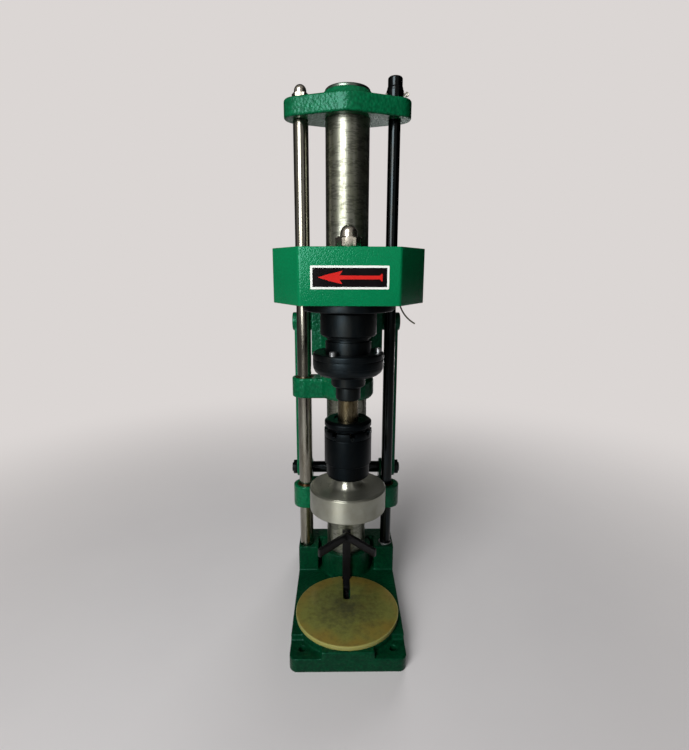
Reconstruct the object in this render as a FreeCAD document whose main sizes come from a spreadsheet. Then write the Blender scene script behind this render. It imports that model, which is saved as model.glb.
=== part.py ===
import FreeCAD, Part
import math
import os
import re
import Sketcher
from FreeCAD import Placement, Rotation, Vector

# Jar capping machine for a bench: a head with its motor slides on a column and two rods.
# Millimetres, +Z up, +Y to the back; the origin is where the column's axis meets the bench.

SIZES = {
    "Base casting": {
        "base_width": 146, "base_front": 180, "base_back": 100, "base_height": 28.5, "base_wall": 8,
        "base_corner": 10, "block_height": 68.5, "block_inner": 43, "block_front": 14, "block_back": 40,
        "web_depth": 25, "socket_height": 67, "socket_wall": 9, "ledge_height": 19, "ledge_depth": 32,
        "ledge_width": 40, "step_front": 125, "step_drop": 1.5, "bench_bolt_pitch": 115,
        "bench_bolt_inset": 18, "bench_bolt_bore": 9, "socket_floor": 8, "rod_seat": 12,
        "chain_hole": 28,
    },
    "Column and rods": {
        "column_dia": 58, "column_wall": 5, "rod_reach": 61, "left_rod_dia": 20, "right_rod_dia": 16,
        "yoke_height": 675.5, "yoke_thick": 23, "yoke_end": 21.5, "yoke_middle": 42, "yoke_boss_dia": 72,
        "yoke_boss_rise": 9, "cap_dia": 58.5, "cap_thick": 4, "stud_dia": 10, "rod_nut_hex": 19,
        "rod_nut_height": 8.5, "rod_nut_dome": 16, "collar_dia": 22.4, "collar_height": 16.5,
        "rod_stub": 25, "end_cap_dia": 18.9, "end_cap_height": 12, "pin_dia": 3.2, "pin_ring": 6.4,
        "foot_ring_dia": 20, "foot_ring_rise": 2, "set_screw_dia": 8, "set_screw_length": 12,
        "set_screw_drop": 18,
    },
    "Jar pad and locator": {
        "spindle_reach": 108, "pad_dia": 139, "pad_thick": 6.3, "slot_width": 10, "slot_front": 86,
        "post_width": 12, "post_thick": 6, "post_back": 39.6, "post_height": 78.5, "vee_height": 102,
        "vee_tall": 11.7, "vee_thick": 6, "vee_half_width": 40.3, "vee_depth": 44, "tongue_width": 9,
        "tongue_length": 24, "stud_reach": 16, "stud_slot": 6.6, "clamp_stud_dia": 6,
        "clamp_nut_hex": 13, "clamp_nut_height": 6.5, "washer_dia": 18,
        "washer_thick": 2,
    },
    "Head": {
        "head_height": 451.7, "head_plate": 12, "plate_front": 46, "plate_back": 52, "sleeve_wall": 7,
        "sleeve_foot_dia": 78, "arm_height": 29, "arm_bottom": 306.3, "arm_end_dia": 35.4,
        "arm_thick": 34, "frame_half_width": 50, "frame_wall": 10, "frame_front": 8, "frame_height": 81.4,
        "frame_back": 48, "motor_reach": 94, "bush_wall": 2.5, "bush_length": 30, "fit_gap": 0.05,
        "housing_dia": 76, "housing_height": 29,
    },
    "Belt cover": {
        "cover_height": 61.8, "cover_front": 164.6, "cover_back": 156, "cover_front_half": 54.6,
        "cover_back_half": 56, "cover_side": 87.9, "cover_shoulder": 108, "cover_wall": 2.5,
        "cover_corner": 5, "tray_thick": 3, "tray_gap": 0.3, "cover_gap": 2, "sign_width": 83.3,
        "sign_tall": 24.5, "sign_thick": 0.8, "sign_drop": 0.75,
    },
    "Belt drive": {
        "driven_pulley_dia": 98, "motor_pulley_dia": 76, "pulley_width": 18, "belt_depth": 8,
        "belt_width": 10, "belt_sink": 1, "pulley_gap": 3,
    },
    "Spindle and clutch": {
        "spindle_dia": 25, "spindle_top_dia": 18, "bearing_dia": 47, "bearing_width": 12,
        "bearing_spacer": 4, "race_thick": 2.2, "bearing_ball": 6, "cap_flange_dia": 108,
        "cap_flange_thick": 8.7, "cap_spigot_dia": 70, "cap_bore": 28, "cap_screw_circle": 82,
        "cap_screw_dia": 5, "cap_drop": 1.8, "driver_dia": 67.4, "driver_height": 28,
        "driver_web": 8, "neck_dia": 54.9, "neck_height": 20.2, "groove_depth": 2.3, "groove_drop": 2.5,
        "groove_height": 3.5, "spring_bore": 42, "ring_dia": 85.8, "ring_height": 15.5, "ring_web": 5,
        "cup_height": 12.5, "cup_end_dia": 62, "hub_dia": 41.5, "hub_height": 14, "hub_flange": 4,
        "nut_dia": 30.5, "nut_height": 17, "cavity_dia": 65, "disc_thick": 2, "ring_screw_dia": 5,
        "ring_screw_circle": 73, "nut_hex": 27, "nut_hex_height": 11.5, "nut_dome_dia": 20,
        "nut_rise": 1.6,
    },
    "Chuck and cap head": {
        "shaft_dia": 25.5, "shaft_show": 24.6, "shaft_tail": 31, "flange_dia": 58.2, "flange_height": 8.6,
        "chuck_neck": 4, "chuck_neck_dia": 52, "crown_dia": 58.9, "crown_height": 8.8, "crown_slot": 6,
        "crown_slot_depth": 4, "chuck_dia": 58.9, "chuck_height": 35.1, "lower_dia": 54,
        "lower_height": 19.4, "key_width": 6, "key_depth": 3, "float_room": 11.5,
        "chuck_floor": 3, "shank_dia": 24, "head_neck_dia": 31, "head_neck_height": 1.5,
        "head_flare_height": 12.4, "head_flare_dia": 48, "head_dia": 97, "head_thick": 30.2,
        "mouth_dia": 80, "crown_mouth_dia": 38, "mouth_depth": 20, "cone_wall": 9,
        "crown_screw_dia": 4.8,
    },
    "Links and lower bracket": {
        "link_outer": 78, "link_thick": 8, "lug_drop": 38.7, "link_bottom": 173.5, "link_back": 50,
        "link_top_dia": 22, "link_bottom_dia": 28, "lug_dia": 27, "lug_inner": 49, "pivot_dia": 12,
        "cross_dia": 18, "cross_end_dia": 14, "cross_nut_hex": 21, "cross_nut_height": 6,
        "bracket_bottom": 135.5, "bracket_height": 33.5, "bracket_end_dia": 37, "bridge_front": 31,
        "bridge_thick": 9, "bridge_height": 24, "eye_width": 14, "eye_dia": 26, "eye_bore": 10,
        "eye_drop": 30, "eye_back": 5,
    },
    "Motor": {
        "motor_dia": 110, "motor_length": 92, "bell_height": 22, "motor_shaft_dia": 14,
        "motor_bolt_dia": 6, "motor_bolt_circle": 90, "motor_spigot": 40, "fin_count": 28, "fin_depth": 4,
        "fin_width": 3, "box_width": 52, "box_tall": 40, "box_depth": 24, "gland_dia": 18,
        "gland_length": 16,
    },
    "Balance spring and tie": {
        "spring_dia": 17, "spring_wire": 2.4, "spring_coils": 22, "spring_reach": 41, "spring_play": 0.4,
        "plug_length": 12,
        "tie_dia": 2, "tie_bend": 42, "tie_head": 5,
    },
}

DOC = FreeCAD.newDocument("JarCappingMachine")
SHEET = DOC.addObject("Spreadsheet::Sheet", "Sizes")
NODES = []


def fill_sheet():
    """Writes each driving size to the sheet as a plain number with an alias."""
    row = 1
    for heading, group in SIZES.items():
        SHEET.set(f"A{row}", heading)
        row += 1
        for alias, size in group.items():
            SHEET.set(f"A{row}", alias)
            SHEET.set(f"B{row}", str(size))
            SHEET.setAlias(f"B{row}", alias)
            row += 1
    DOC.recompute()


ALIASES = {alias for group in SIZES.values() for alias in group}


def ref(text):
    """An expression with each alias pointed at the sheet."""
    return re.sub(r"[a-z_]+", lambda word: "Sizes." + word[0] if word[0] in ALIASES else word[0],
                  str(text))


def number(text):
    """The value of such an expression now."""
    return float(SHEET.evalExpression(ref(text)))


def bind(item, **sizes):
    for name, text in sizes.items():
        item.setExpression(name, ref(text))
    return item


def place(item, x=0, y=0, z=0, turn=None):
    """Puts an object at a place given by expressions, turned about it if asked."""
    if turn:
        item.Placement = Placement(Vector(), turn)
    for axis, text in zip("xyz", (x, y, z)):
        item.setExpression(f"Placement.Base.{axis}", ref(text))
    return item


TO_X = Rotation(Vector(0, 1, 0), 90)
TO_Y = Rotation(Vector(1, 0, 0), -90)
TO_YZ = Rotation(Vector(1, 1, 1), 120)


def box(x, y, z, length, width, height):
    """A block from its lowest corner."""
    item = bind(DOC.addObject("Part::Box", "Block"), Length=length, Width=width, Height=height)
    return place(item, x, y, z)


def rod(x, y, z, radius, height, turn=None):
    """A cylinder along Z, or along X or Y when turned."""
    item = bind(DOC.addObject("Part::Cylinder", "Round"), Radius=radius, Height=height)
    return place(item, x, y, z, turn)


def cone(x, y, z, low, high, height):
    item = bind(DOC.addObject("Part::Cone", "Taper"), Radius1=low, Radius2=high, Height=height)
    return place(item, x, y, z)


def ball(x, y, z, radius):
    return place(bind(DOC.addObject("Part::Sphere", "Ball"), Radius=radius), x, y, z)


def hexagon(x, y, z, across_flats, height, turn=None):
    item = DOC.addObject("Part::Prism", "Hexagon")
    item.Polygon = 6
    bind(item, Circumradius=f"({across_flats}) / 2 / cos(30)", Height=height)
    return place(item, x, y, z, turn)


def node(item, label):
    """Marks an object as a sub-part that gets a file of its own."""
    item.Label = label
    NODES.append(item)
    return item


def fuse(*items):
    if len(items) == 1:
        return items[0]
    item = DOC.addObject("Part::MultiFuse", "Joined")
    item.Shapes = list(items)
    item.Refine = True
    return item


def cut(base, *tools):
    item = DOC.addObject("Part::Cut", "Machined")
    item.Base = base
    item.Tool = fuse(*tools)
    item.Refine = True
    return item


def group(*items):
    """Separate solids of one kind that share a node."""
    item = DOC.addObject("Part::Compound", "Group")
    item.Links = list(items)
    return item


def sketch_on(body, role):
    """An empty sketch on one of the body's own origin planes."""
    sketch = body.newObject("Sketcher::SketchObject", "Sketch")
    plane = [part for part in body.Origin.OriginFeatures if part.Role == role][0]
    sketch.AttachmentSupport = [(plane, "")]
    sketch.MapMode = "FlatFace"
    return sketch


def fix(sketch, geometry, point, x, y):
    """Holds a point of a sketch at a place given by expressions."""
    for kind, text in (("DistanceX", x), ("DistanceY", y)):
        index = sketch.addConstraint(Sketcher.Constraint(kind, -1, 1, geometry, point, number(text)))
        sketch.setExpression(f"Constraints[{index}]", ref(text))


def polygon(sketch, points):
    """A closed run of straight lines through points given by expressions."""
    spots = [Vector(number(x), number(y), 0) for x, y in points]
    first = len(sketch.Geometry)
    count = len(spots)
    for i in range(count):
        sketch.addGeometry(Part.LineSegment(spots[i], spots[(i + 1) % count]))
    for i in range(count):
        sketch.addConstraint(
            Sketcher.Constraint("Coincident", first + i, 2, first + (i + 1) % count, 1))
    for i, (x, y) in enumerate(points):
        fix(sketch, first + i, 1, x, y)


def rounded(sketch, corners):
    """Arcs joined by tangent lines, from corners (x, y, radius) taken counter-clockwise."""
    spots = [(Vector(number(x), number(y), 0), number(radius)) for x, y, radius in corners]
    count = len(spots)
    normals = []
    for i in range(count):
        (start, near), (end, far) = spots[i], spots[(i + 1) % count]
        along = end - start
        lean = math.asin((far - near) / along.Length)
        along.normalize()
        normals.append(Vector(along.y, -along.x, 0) * math.cos(lean) - along * math.sin(lean))
    first = len(sketch.Geometry)
    for i, (centre, radius) in enumerate(spots):
        begin = math.atan2(normals[i - 1].y, normals[i - 1].x)
        end = math.atan2(normals[i].y, normals[i].x)
        while end <= begin:
            end += 2 * math.pi
        circle = Part.Circle(centre, Vector(0, 0, 1), radius)
        sketch.addGeometry(Part.ArcOfCircle(circle, begin, end))
        after, next_radius = spots[(i + 1) % count]
        sketch.addGeometry(Part.LineSegment(centre + normals[i] * radius,
                                            after + normals[i] * next_radius))
    for i, (x, y, radius) in enumerate(corners):
        arc = first + 2 * i
        after = first + 2 * ((i + 1) % count)
        sketch.addConstraint(Sketcher.Constraint("Tangent", arc, 2, arc + 1, 1))
        sketch.addConstraint(Sketcher.Constraint("Tangent", arc + 1, 2, after, 1))
        fix(sketch, arc, 3, x, y)
        index = sketch.addConstraint(Sketcher.Constraint("Radius", arc, number(radius)))
        sketch.setExpression(f"Constraints[{index}]", ref(radius))


def turned(points, x=0, y=0, z=0):
    """A lathe-turned body from a half profile of (radius, height) pairs."""
    body = DOC.addObject("PartDesign::Body", "Turned")
    sketch = sketch_on(body, "XZ_Plane")
    polygon(sketch, points)
    spin = body.newObject("PartDesign::Revolution", "Revolution")
    spin.Profile = sketch
    spin.ReferenceAxis = (sketch, ["V_Axis"])
    spin.Angle = 360
    return place(body, x, y, z)


def plate(corners, thick, z=0, x=0, y=0):
    """A body padded up from a rounded plan."""
    body = DOC.addObject("PartDesign::Body", "Plate")
    sketch = sketch_on(body, "XY_Plane")
    rounded(sketch, corners)
    pad = body.newObject("PartDesign::Pad", "Pad")
    pad.Profile = sketch
    bind(pad, Length=thick)
    return place(body, x, y, z)


def soften(body, radius):
    """Rounds the edges round a plate's top and bottom faces, as a casting has them."""
    DOC.recompute()
    feature = body.Tip
    flat = [f"Face{i + 1}" for i,
            face in enumerate(feature.Shape.Faces) if abs(face.normalAt(0, 0).z) > 0.99]
    rounding = body.newObject("PartDesign::Fillet", "Fillet")
    rounding.Base = (feature, flat)
    bind(rounding, Radius=radius)
    return body


fill_sheet()

# Levels and reaches that several pieces share.
COLUMN_R = "column_dia / 2"
SPINDLE_Y = "-spindle_reach"
PAD_SEAT = "base_height"
YOKE_BOTTOM = "yoke_height"
YOKE_TOP = "(yoke_height + yoke_thick)"
SCREW_HEIGHT = "(block_height - set_screw_drop)"
SCREW_BORE = "set_screw_dia / 2 + fit_gap"
CAP_SCREW_ANGLES = (0, 180, -60, -120)
MOTOR_BOLT_ANGLES = (45, 135, 225, 315)
BOWL_SHARES = ((0.45, 0.12), (0.78, 0.38), (0.95, 0.70))
BOSS_TOP = f"({YOKE_TOP} + yoke_boss_rise)"
TRAY_BOTTOM = "(head_height - tray_thick)"
COVER_TOP = f"({TRAY_BOTTOM} + cover_height)"
PULLEY_BOTTOM = "(head_height + housing_height + pulley_gap)"
CAP_BOTTOM = f"({TRAY_BOTTOM} - cap_flange_thick)"
DRIVER_TOP = f"({CAP_BOTTOM} - cap_drop)"
NECK_TOP = f"({DRIVER_TOP} - driver_height)"
RING_TOP = f"({NECK_TOP} - neck_height)"
CUP_TOP = f"({RING_TOP} - ring_height)"
CUP_BOTTOM = f"({CUP_TOP} - cup_height)"
HUB_BOTTOM = f"({CUP_BOTTOM} - hub_height)"
NUT_BOTTOM = f"({HUB_BOTTOM} - nut_height)"
FLANGE_TOP = f"({NUT_BOTTOM} - shaft_show)"
CROWN_TOP = f"({FLANGE_TOP} - flange_height - chuck_neck)"
CHUCK_TOP = f"({CROWN_TOP} - crown_height)"
LOWER_TOP = f"({CHUCK_TOP} - chuck_height)"
LOWER_BOTTOM = f"({LOWER_TOP} - lower_height)"
DISC_TOP = f"({LOWER_BOTTOM} - head_neck_height - head_flare_height)"
DISC_BOTTOM = f"({DISC_TOP} - head_thick)"
LINK_TOP = f"({TRAY_BOTTOM} - lug_drop)"
SPRING_FOOT = "(head_height + head_plate)"
SET_R = "(crown_screw_dia / 2)"
PLUG_R = "(spring_dia / 2 - spring_wire / 2 - spring_play)"


def base_casting():
    """Hollow base with rod blocks, column socket and a flat top for the jar pad."""
    half, inset = "base_width / 2", "base_corner"
    corners = [
        (f"-{half} + {inset}", f"-base_front + {inset}", inset),
        (f"{half} - {inset}", f"-base_front + {inset}", inset),
        (f"{half} - {inset}", f"base_back - {inset}", inset),
        (f"-{half} + {inset}", f"base_back - {inset}", inset),
    ]
    socket_r = f"{COLUMN_R} + socket_wall"
    block, block_depth = f"({half} - block_inner)", "block_front + block_back"
    solids = [
        plate(corners, "base_height"),
        box("-rod_reach", "block_back - web_depth", "base_height - 1", "2 * rod_reach", "web_depth",
            "block_height - base_height + 1"),
        rod(0, 0, 0, socket_r, "socket_height"),
    ]
    keep = [rod(0, 0, -2, socket_r, "base_height + 2")]
    tools = [rod(0, 0, "socket_floor", f"{COLUMN_R} + fit_gap", "socket_height")]
    step = box(f"-{half} - 1", "-base_front - 1", "base_height - step_drop", "base_width + 2",
               "base_front - step_front + 1", "base_height")
    tools.append(cut(step, rod(0, SPINDLE_Y, 0, "pad_dia / 2", "3 * base_height"),
                     box("-ledge_width", "-base_front", 0, "2 * ledge_width", "base_front",
                         "3 * base_height")))
    for side in (-1, 1):
        low_x = f"-{half}" if side < 0 else "block_inner"
        solids.append(box(low_x, "-block_front", 0, block, block_depth, "block_height"))
        keep.append(box(low_x, "-block_front", -2, block, block_depth, "base_height + 2"))
        bore = "left_rod_dia / 2 + fit_gap" if side < 0 else "foot_ring_dia / 2 - 1 + fit_gap"
        tools.append(rod(f"{side} * rod_reach", 0, "rod_seat", bore, "block_height"))
        tools.append(rod(f"{side} * rod_reach", 0, SCREW_HEIGHT, SCREW_BORE, "block_back + 1", TO_Y))
        ends = (("-base_front + bench_bolt_inset", "-base_front - 1"),
                ("base_back - bench_bolt_inset", "base_back - ledge_depth"))
        for y, near in ends:
            bolt_x = f"{side} * bench_bolt_pitch / 2"
            keep.append(rod(bolt_x, y, -2, "bench_bolt_bore / 2 + base_wall", "base_height + 2"))
            tools.append(rod(bolt_x, y, -1, "bench_bolt_bore / 2", "base_height + 2"))
            ledge_x = f"-{half} - 1" if side < 0 else f"{half} - ledge_width"
            ledge = box(ledge_x, near, "ledge_height", "ledge_width + 1", "ledge_depth + 1",
                        "base_height")
            tools.append(cut(ledge, rod(0, SPINDLE_Y, 0, "pad_dia / 2", "3 * base_height")))
    inner_x, inner_width = f"-{half} + base_wall", "base_width - 2 * base_wall"
    low_hollow = box(inner_x, "-base_front + base_wall", -1, inner_width,
                     "base_front + base_back - 2 * base_wall", "ledge_height - base_wall + 1")
    high_hollow = box(inner_x, "-base_front + ledge_depth + base_wall", -1, inner_width,
                      "base_front + base_back - 2 * ledge_depth - 2 * base_wall",
                      "base_height - base_wall + 1")
    tools.append(cut(fuse(low_hollow, high_hollow), *keep))
    tools.append(rod(0, 0, SCREW_HEIGHT, SCREW_BORE, "block_back + 1", TO_Y))
    slot_back = "(post_back + stud_reach - stud_slot)"
    tools.append(box("-stud_slot / 2", "-slot_front", -1, "stud_slot", f"slot_front - {slot_back}",
                     "2 * base_height"))
    tools.append(rod(0, "-slot_front", -1, "stud_slot / 2", "2 * base_height"))
    tools.append(box("-chain_hole / 2", "link_back", -1, "chain_hole", "chain_hole", "2 * base_height"))
    return node(cut(fuse(*solids), *tools), "base_casting")


def column():
    """Polished tube from the socket floor to the top of the yoke boss, with its cap."""
    inner = f"{COLUMN_R} - column_wall"
    tube = turned([(inner, "socket_floor"), (COLUMN_R, "socket_floor"), (COLUMN_R, BOSS_TOP),
                   (inner, BOSS_TOP)])
    node(tube, "column")
    plug = f"{inner} - fit_gap"
    cap = turned([(0, "-3 * cap_thick"), (plug, "-3 * cap_thick"), (plug, 0), ("cap_dia / 2", 0),
                  ("cap_dia / 2", "cap_thick - 1.5"), ("cap_dia / 2 - 1.5", "cap_thick"),
                  (0, "cap_thick")], z=BOSS_TOP)
    node(cap, "column_cap")


def top_yoke():
    """Casting that ties the column and both rods together at the top."""
    ends = [("-rod_reach", 0, "yoke_end"), (0, 0, "yoke_middle"), ("rod_reach", 0, "yoke_end"),
            (0, 0, "yoke_middle")]
    arm = soften(plate(ends, "yoke_thick", YOKE_BOTTOM), 2.5)
    boss = cone(0, 0, YOKE_TOP, "yoke_boss_dia / 2", "yoke_boss_dia / 2 - 0.6 * yoke_boss_rise",
                "yoke_boss_rise")
    lug = fuse(rod(0, "spring_reach", YOKE_BOTTOM, "spring_dia / 2 + 6", "yoke_thick"),
               rod(0, "spring_reach", f"{YOKE_BOTTOM} - plug_length", PLUG_R, "plug_length + 1"))
    holes = [
        rod(0, 0, YOKE_BOTTOM + " - 1", f"{COLUMN_R} + fit_gap", "2 * yoke_thick"),
        rod("-rod_reach", 0, YOKE_BOTTOM + " - 1", "stud_dia / 2 + fit_gap", "2 * yoke_thick"),
        rod("rod_reach", 0, YOKE_BOTTOM + " - 1", "right_rod_dia / 2 + fit_gap", "2 * yoke_thick"),
    ]
    node(cut(fuse(arm, boss, lug), *holes), "top_yoke")


def domed_nut(x, y, z, flats, height, dome, bore, depth):
    """A closed nut: hexagon, round dome and a blind bore from below."""
    body = fuse(hexagon(x, y, z, flats, height), rod(x, y, z, f"{dome} / 2", f"{height} + {dome} / 6"),
                ball(x, y, f"{z} + {height} + {dome} / 6", f"{dome} / 2"))
    bevel = cone(x, y, z, f"{flats} / 2 + {height}", f"{flats} / 2", height)
    trimmed = DOC.addObject("Part::MultiCommon", "Bevelled")
    trimmed.Shapes = [body, fuse(bevel, rod(x, y, f"{z} + {height} - 0.1", f"{dome} / 2", dome),
                                 rod(x, y, z, f"{flats} / 2 * 1.13", f"0.8 * {height}"))]
    return cut(trimmed, rod(x, y, f"{z} - 1", bore, f"{depth} + 1"))


def rods():
    """The polished left rod and the blackened right rod, with what holds them at the top."""
    seat = "rod_seat"
    left_r = "left_rod_dia / 2"
    stud_r = "stud_dia / 2"
    stud_top = f"{YOKE_TOP} + rod_nut_height + 3"
    node(turned([(0, seat), (left_r, seat), (left_r, YOKE_BOTTOM), (stud_r, YOKE_BOTTOM),
                 (stud_r, stud_top), (0, stud_top)],
                x="-rod_reach"), "left_rod")
    node(domed_nut("-rod_reach", 0, YOKE_TOP, "rod_nut_hex", "rod_nut_height", "rod_nut_dome",
                   f"{stud_r} + fit_gap", "rod_nut_height + 3.2"), "left_rod_nut")
    right_r = "right_rod_dia / 2"
    pin_z = f"{YOKE_TOP} + collar_height / 2"
    pin_hole = ("rod_reach - collar_dia", 0, pin_z, "pin_dia / 2 + fit_gap", "2 * collar_dia", TO_X)
    bar = rod("rod_reach", 0, seat, right_r, f"{YOKE_TOP} + rod_stub - {seat}")
    node(cut(bar, rod(*pin_hole)), "right_rod")
    collar = cut(rod("rod_reach", 0, YOKE_TOP, "collar_dia / 2", "collar_height"),
                 rod("rod_reach", 0, YOKE_TOP, f"{right_r} + fit_gap", "collar_height"), rod(*pin_hole))
    node(collar, "rod_collar")
    cap_r = "end_cap_dia / 2"
    shell = turned([(f"{right_r} + fit_gap", 0), (cap_r, 0), (cap_r, "end_cap_height - 2.5"),
                    (f"{cap_r} - 0.8", "end_cap_height - 0.9"),
                    (f"{cap_r} - 2.5", "end_cap_height"), (0, "end_cap_height"),
                    (0, "rod_stub - collar_height"),
                    (f"{right_r} + fit_gap", "rod_stub - collar_height")], x="rod_reach",
                    z=f"{YOKE_TOP} + collar_height")
    node(shell, "rod_end_cap")
    ring = bind(DOC.addObject("Part::Torus", "Ring"), Radius1="pin_ring / 2 - 1", Radius2=1)
    place(ring, "rod_reach + collar_dia / 2 + pin_ring / 2 + 0.4", 0, pin_z, TO_Y)
    shank = rod("rod_reach - collar_dia / 2 - 1", 0, pin_z, "pin_dia / 2", "collar_dia + 2.4", TO_X)
    node(fuse(shank, ring), "ring_pin")
    ring_r = "foot_ring_dia / 2"
    foot = turned([(f"{right_r} + fit_gap", seat), (f"{ring_r} - 1", seat),
                   (f"{ring_r} - 1", "block_height"), (ring_r, "block_height"),
                   (ring_r, "block_height + foot_ring_rise"),
                   (f"{right_r} + fit_gap", "block_height + foot_ring_rise")], x="rod_reach")
    node(foot, "rod_foot_bush")
    screws = []
    for x, start in (("-rod_reach", left_r), (0, COLUMN_R), ("rod_reach", f"{ring_r} - 1")):
        body = rod(x, f"{start} + fit_gap", SCREW_HEIGHT, "set_screw_dia / 2", "set_screw_length", TO_Y)
        socket = hexagon(x, f"{start} + set_screw_length - 3", SCREW_HEIGHT, "set_screw_dia / 2", 4, TO_Y)
        screws.append(cut(body, socket))
    node(group(*screws), "base_set_screws")


def jar_pad():
    """Round pad under the jar with a slot for the locator."""
    disc = rod(0, SPINDLE_Y, PAD_SEAT, "pad_dia / 2", "pad_thick")
    slot = box("-slot_width / 2", "-slot_front", PAD_SEAT, "slot_width", "slot_front", "pad_thick")
    end = rod(0, "-slot_front", PAD_SEAT, "slot_width / 2", "pad_thick")
    node(cut(disc, slot, end), "jar_pad")


def jar_locator():
    """Vee on a post whose tongue slides in the pad slot, clamped from below."""
    back = "-post_back - post_thick"
    foot = f"({PAD_SEAT} + pad_thick + 0.2)"
    under = "(base_height - base_wall)"
    stud_y = "-post_back - stud_reach"
    tongue_low = f"{PAD_SEAT} + 0.2"
    post = box("-post_width / 2", back, foot, "post_width", "post_thick", "post_height")
    tongue = box("-tongue_width / 2", "-post_back - tongue_length", tongue_low, "tongue_width",
                 "tongue_length",
                 "pad_thick - 0.4")
    root = box("-tongue_width / 2", back, tongue_low, "tongue_width", "post_thick", "pad_thick + 2")
    stud_low = f"({under} - washer_thick - clamp_nut_height - 1)"
    stud = rod(0, stud_y, stud_low, "clamp_stud_dia / 2", f"{PAD_SEAT} + 1 - {stud_low}")
    node(fuse(post, root, tongue, stud), "locator_post")
    vee = DOC.addObject("PartDesign::Body", "Vee")
    sketch = sketch_on(vee, "XY_Plane")
    tip_x, tip_y = "vee_half_width - 0.6 * vee_thick", "-vee_depth - 0.8 * vee_thick"
    polygon(sketch, [(0, 0), ("-vee_half_width", "-vee_depth"), (f"-({tip_x})", tip_y),
                     (0, "-1.25 * vee_thick"),
                     (tip_x, tip_y), ("vee_half_width", "-vee_depth")])
    pad = vee.newObject("PartDesign::Pad", "Pad")
    pad.Profile = sketch
    bind(pad, Length="vee_tall")
    node(place(vee, 0, back, "vee_height"), "locator_vee")
    nut = fuse(rod(0, stud_y, f"{under} - washer_thick", "washer_dia / 2", "washer_thick"),
               hexagon(0, stud_y, f"{under} - washer_thick - clamp_nut_height", "clamp_nut_hex",
                       "clamp_nut_height"))
    node(cut(nut, rod(0, stud_y, "base_wall", "clamp_stud_dia / 2 + fit_gap", "base_height")),
         "clamp_nut")


def head_casting():
    """Sleeve on the column with a top plate, bearing housing, rear frame and guide arm."""
    plan = [(0, SPINDLE_Y, "plate_front"), (0, "motor_reach", "plate_back")]
    sleeve_r = f"{COLUMN_R} + sleeve_wall"
    foot_r = "sleeve_foot_dia / 2"
    solids = [
        plate(plan, "head_plate", "head_height"),
        rod(0, SPINDLE_Y, "head_height", "housing_dia / 2", "housing_height"),
        rod(0, "spring_reach", "head_height", PLUG_R, "head_plate + plug_length"),
        rod(0, 0, "arm_bottom", sleeve_r, "head_height - arm_bottom + 1"),
        turned([(0, 0), (f"{foot_r} - 4", 0), (foot_r, 5), (foot_r, "arm_height - 3"),
                (f"{foot_r} - 3", "arm_height"), (0, "arm_height")],
               z="arm_bottom"),
        box("-rod_reach", "-arm_thick / 2", "arm_bottom", "rod_reach", "arm_thick", "arm_height"),
        rod("-rod_reach", 0, "arm_bottom", "arm_end_dia / 2", "arm_height"),
        box("-frame_half_width", "-frame_front", f"{TRAY_BOTTOM} - frame_height", "2 * frame_half_width",
            "frame_front + frame_wall / 2", "frame_height"),
    ]
    tools = [
        rod(0, 0, 0, f"{COLUMN_R} + bush_wall + fit_gap", "2 * head_height"),
        rod("-rod_reach", 0, 0, "left_rod_dia / 2 + bush_wall + fit_gap", "head_height"),
        rod(0, SPINDLE_Y, "head_height - 1", "bearing_dia / 2 + fit_gap",
            "2 * bearing_width + bearing_spacer + 1"),
        rod(0, SPINDLE_Y, "head_height", "bearing_dia / 2 - 4", "2 * housing_height"),
        rod(0, "motor_reach", "head_height - 1", "motor_spigot / 2 + fit_gap", "2 * head_plate"),
    ]
    for side in (-1, 1):
        low_x = "-frame_half_width" if side < 0 else "frame_half_width - frame_wall"
        solids.append(box(low_x, 0, f"{TRAY_BOTTOM} - frame_height", "frame_wall", "frame_back",
                          "frame_height"))
        lug_x = "-link_outer + link_thick + tray_gap" if side < 0 else "lug_inner - 6"
        reach = "link_outer - link_thick - tray_gap - lug_inner + 6"
        solids.append(rod(lug_x, "link_back", LINK_TOP, "lug_dia / 2", reach, TO_X))
        solids.append(box(lug_x if side > 0 else "-lug_inner", "frame_back - 12",
                          f"{LINK_TOP} - lug_dia / 2", 6, 12, "lug_dia"))
        tools.append(rod("-link_outer" if side < 0 else "lug_inner", "link_back", LINK_TOP,
                         "pivot_dia / 2 + fit_gap", "link_outer - lug_inner", TO_X))
    tools.append(rod(0, "motor_reach", 0, "motor_dia / 2 + tray_gap", "head_height"))
    for x, y in around("cap_screw_circle", CAP_SCREW_ANGLES):
        tools.append(rod(x, f"{SPINDLE_Y} + {y}", "head_height - 1", "cap_screw_dia / 2 + fit_gap",
                         "head_plate"))
    for x, y in around("motor_bolt_circle", MOTOR_BOLT_ANGLES):
        tools.append(rod(x, f"motor_reach + {y}", "head_height - 1", "motor_bolt_dia / 2 + fit_gap",
                         "2 * head_plate"))
    node(cut(fuse(*solids), *tools), "head_casting")
    bushes = []
    for z in ("arm_bottom", "head_height + head_plate - bush_length"):
        bushes.append(tube(0, 0, z, f"{COLUMN_R} + fit_gap", "bush_wall", "bush_length"))
    bushes.append(tube("-rod_reach", 0, "arm_bottom", "left_rod_dia / 2 + fit_gap", "bush_wall",
                       "arm_height"))
    for side, dia in ((-1, "left_rod_dia"), (1, "right_rod_dia")):
        bushes.append(tube(f"{side} * rod_reach", 0, "bracket_bottom", f"{dia} / 2 + fit_gap",
                           "bush_wall", "bracket_height"))
    node(group(*bushes), "guide_bushes")


def tube(x, y, z, inner, wall, height):
    return cut(rod(x, y, z, f"{inner} + {wall}", height), rod(x, y, z, inner, height))


def around(circle, angles):
    """Places on a circle as pairs of expressions."""
    return [(f"{circle} / 2 * cos({angle})", f"{circle} / 2 * sin({angle})") for angle in angles]


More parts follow.
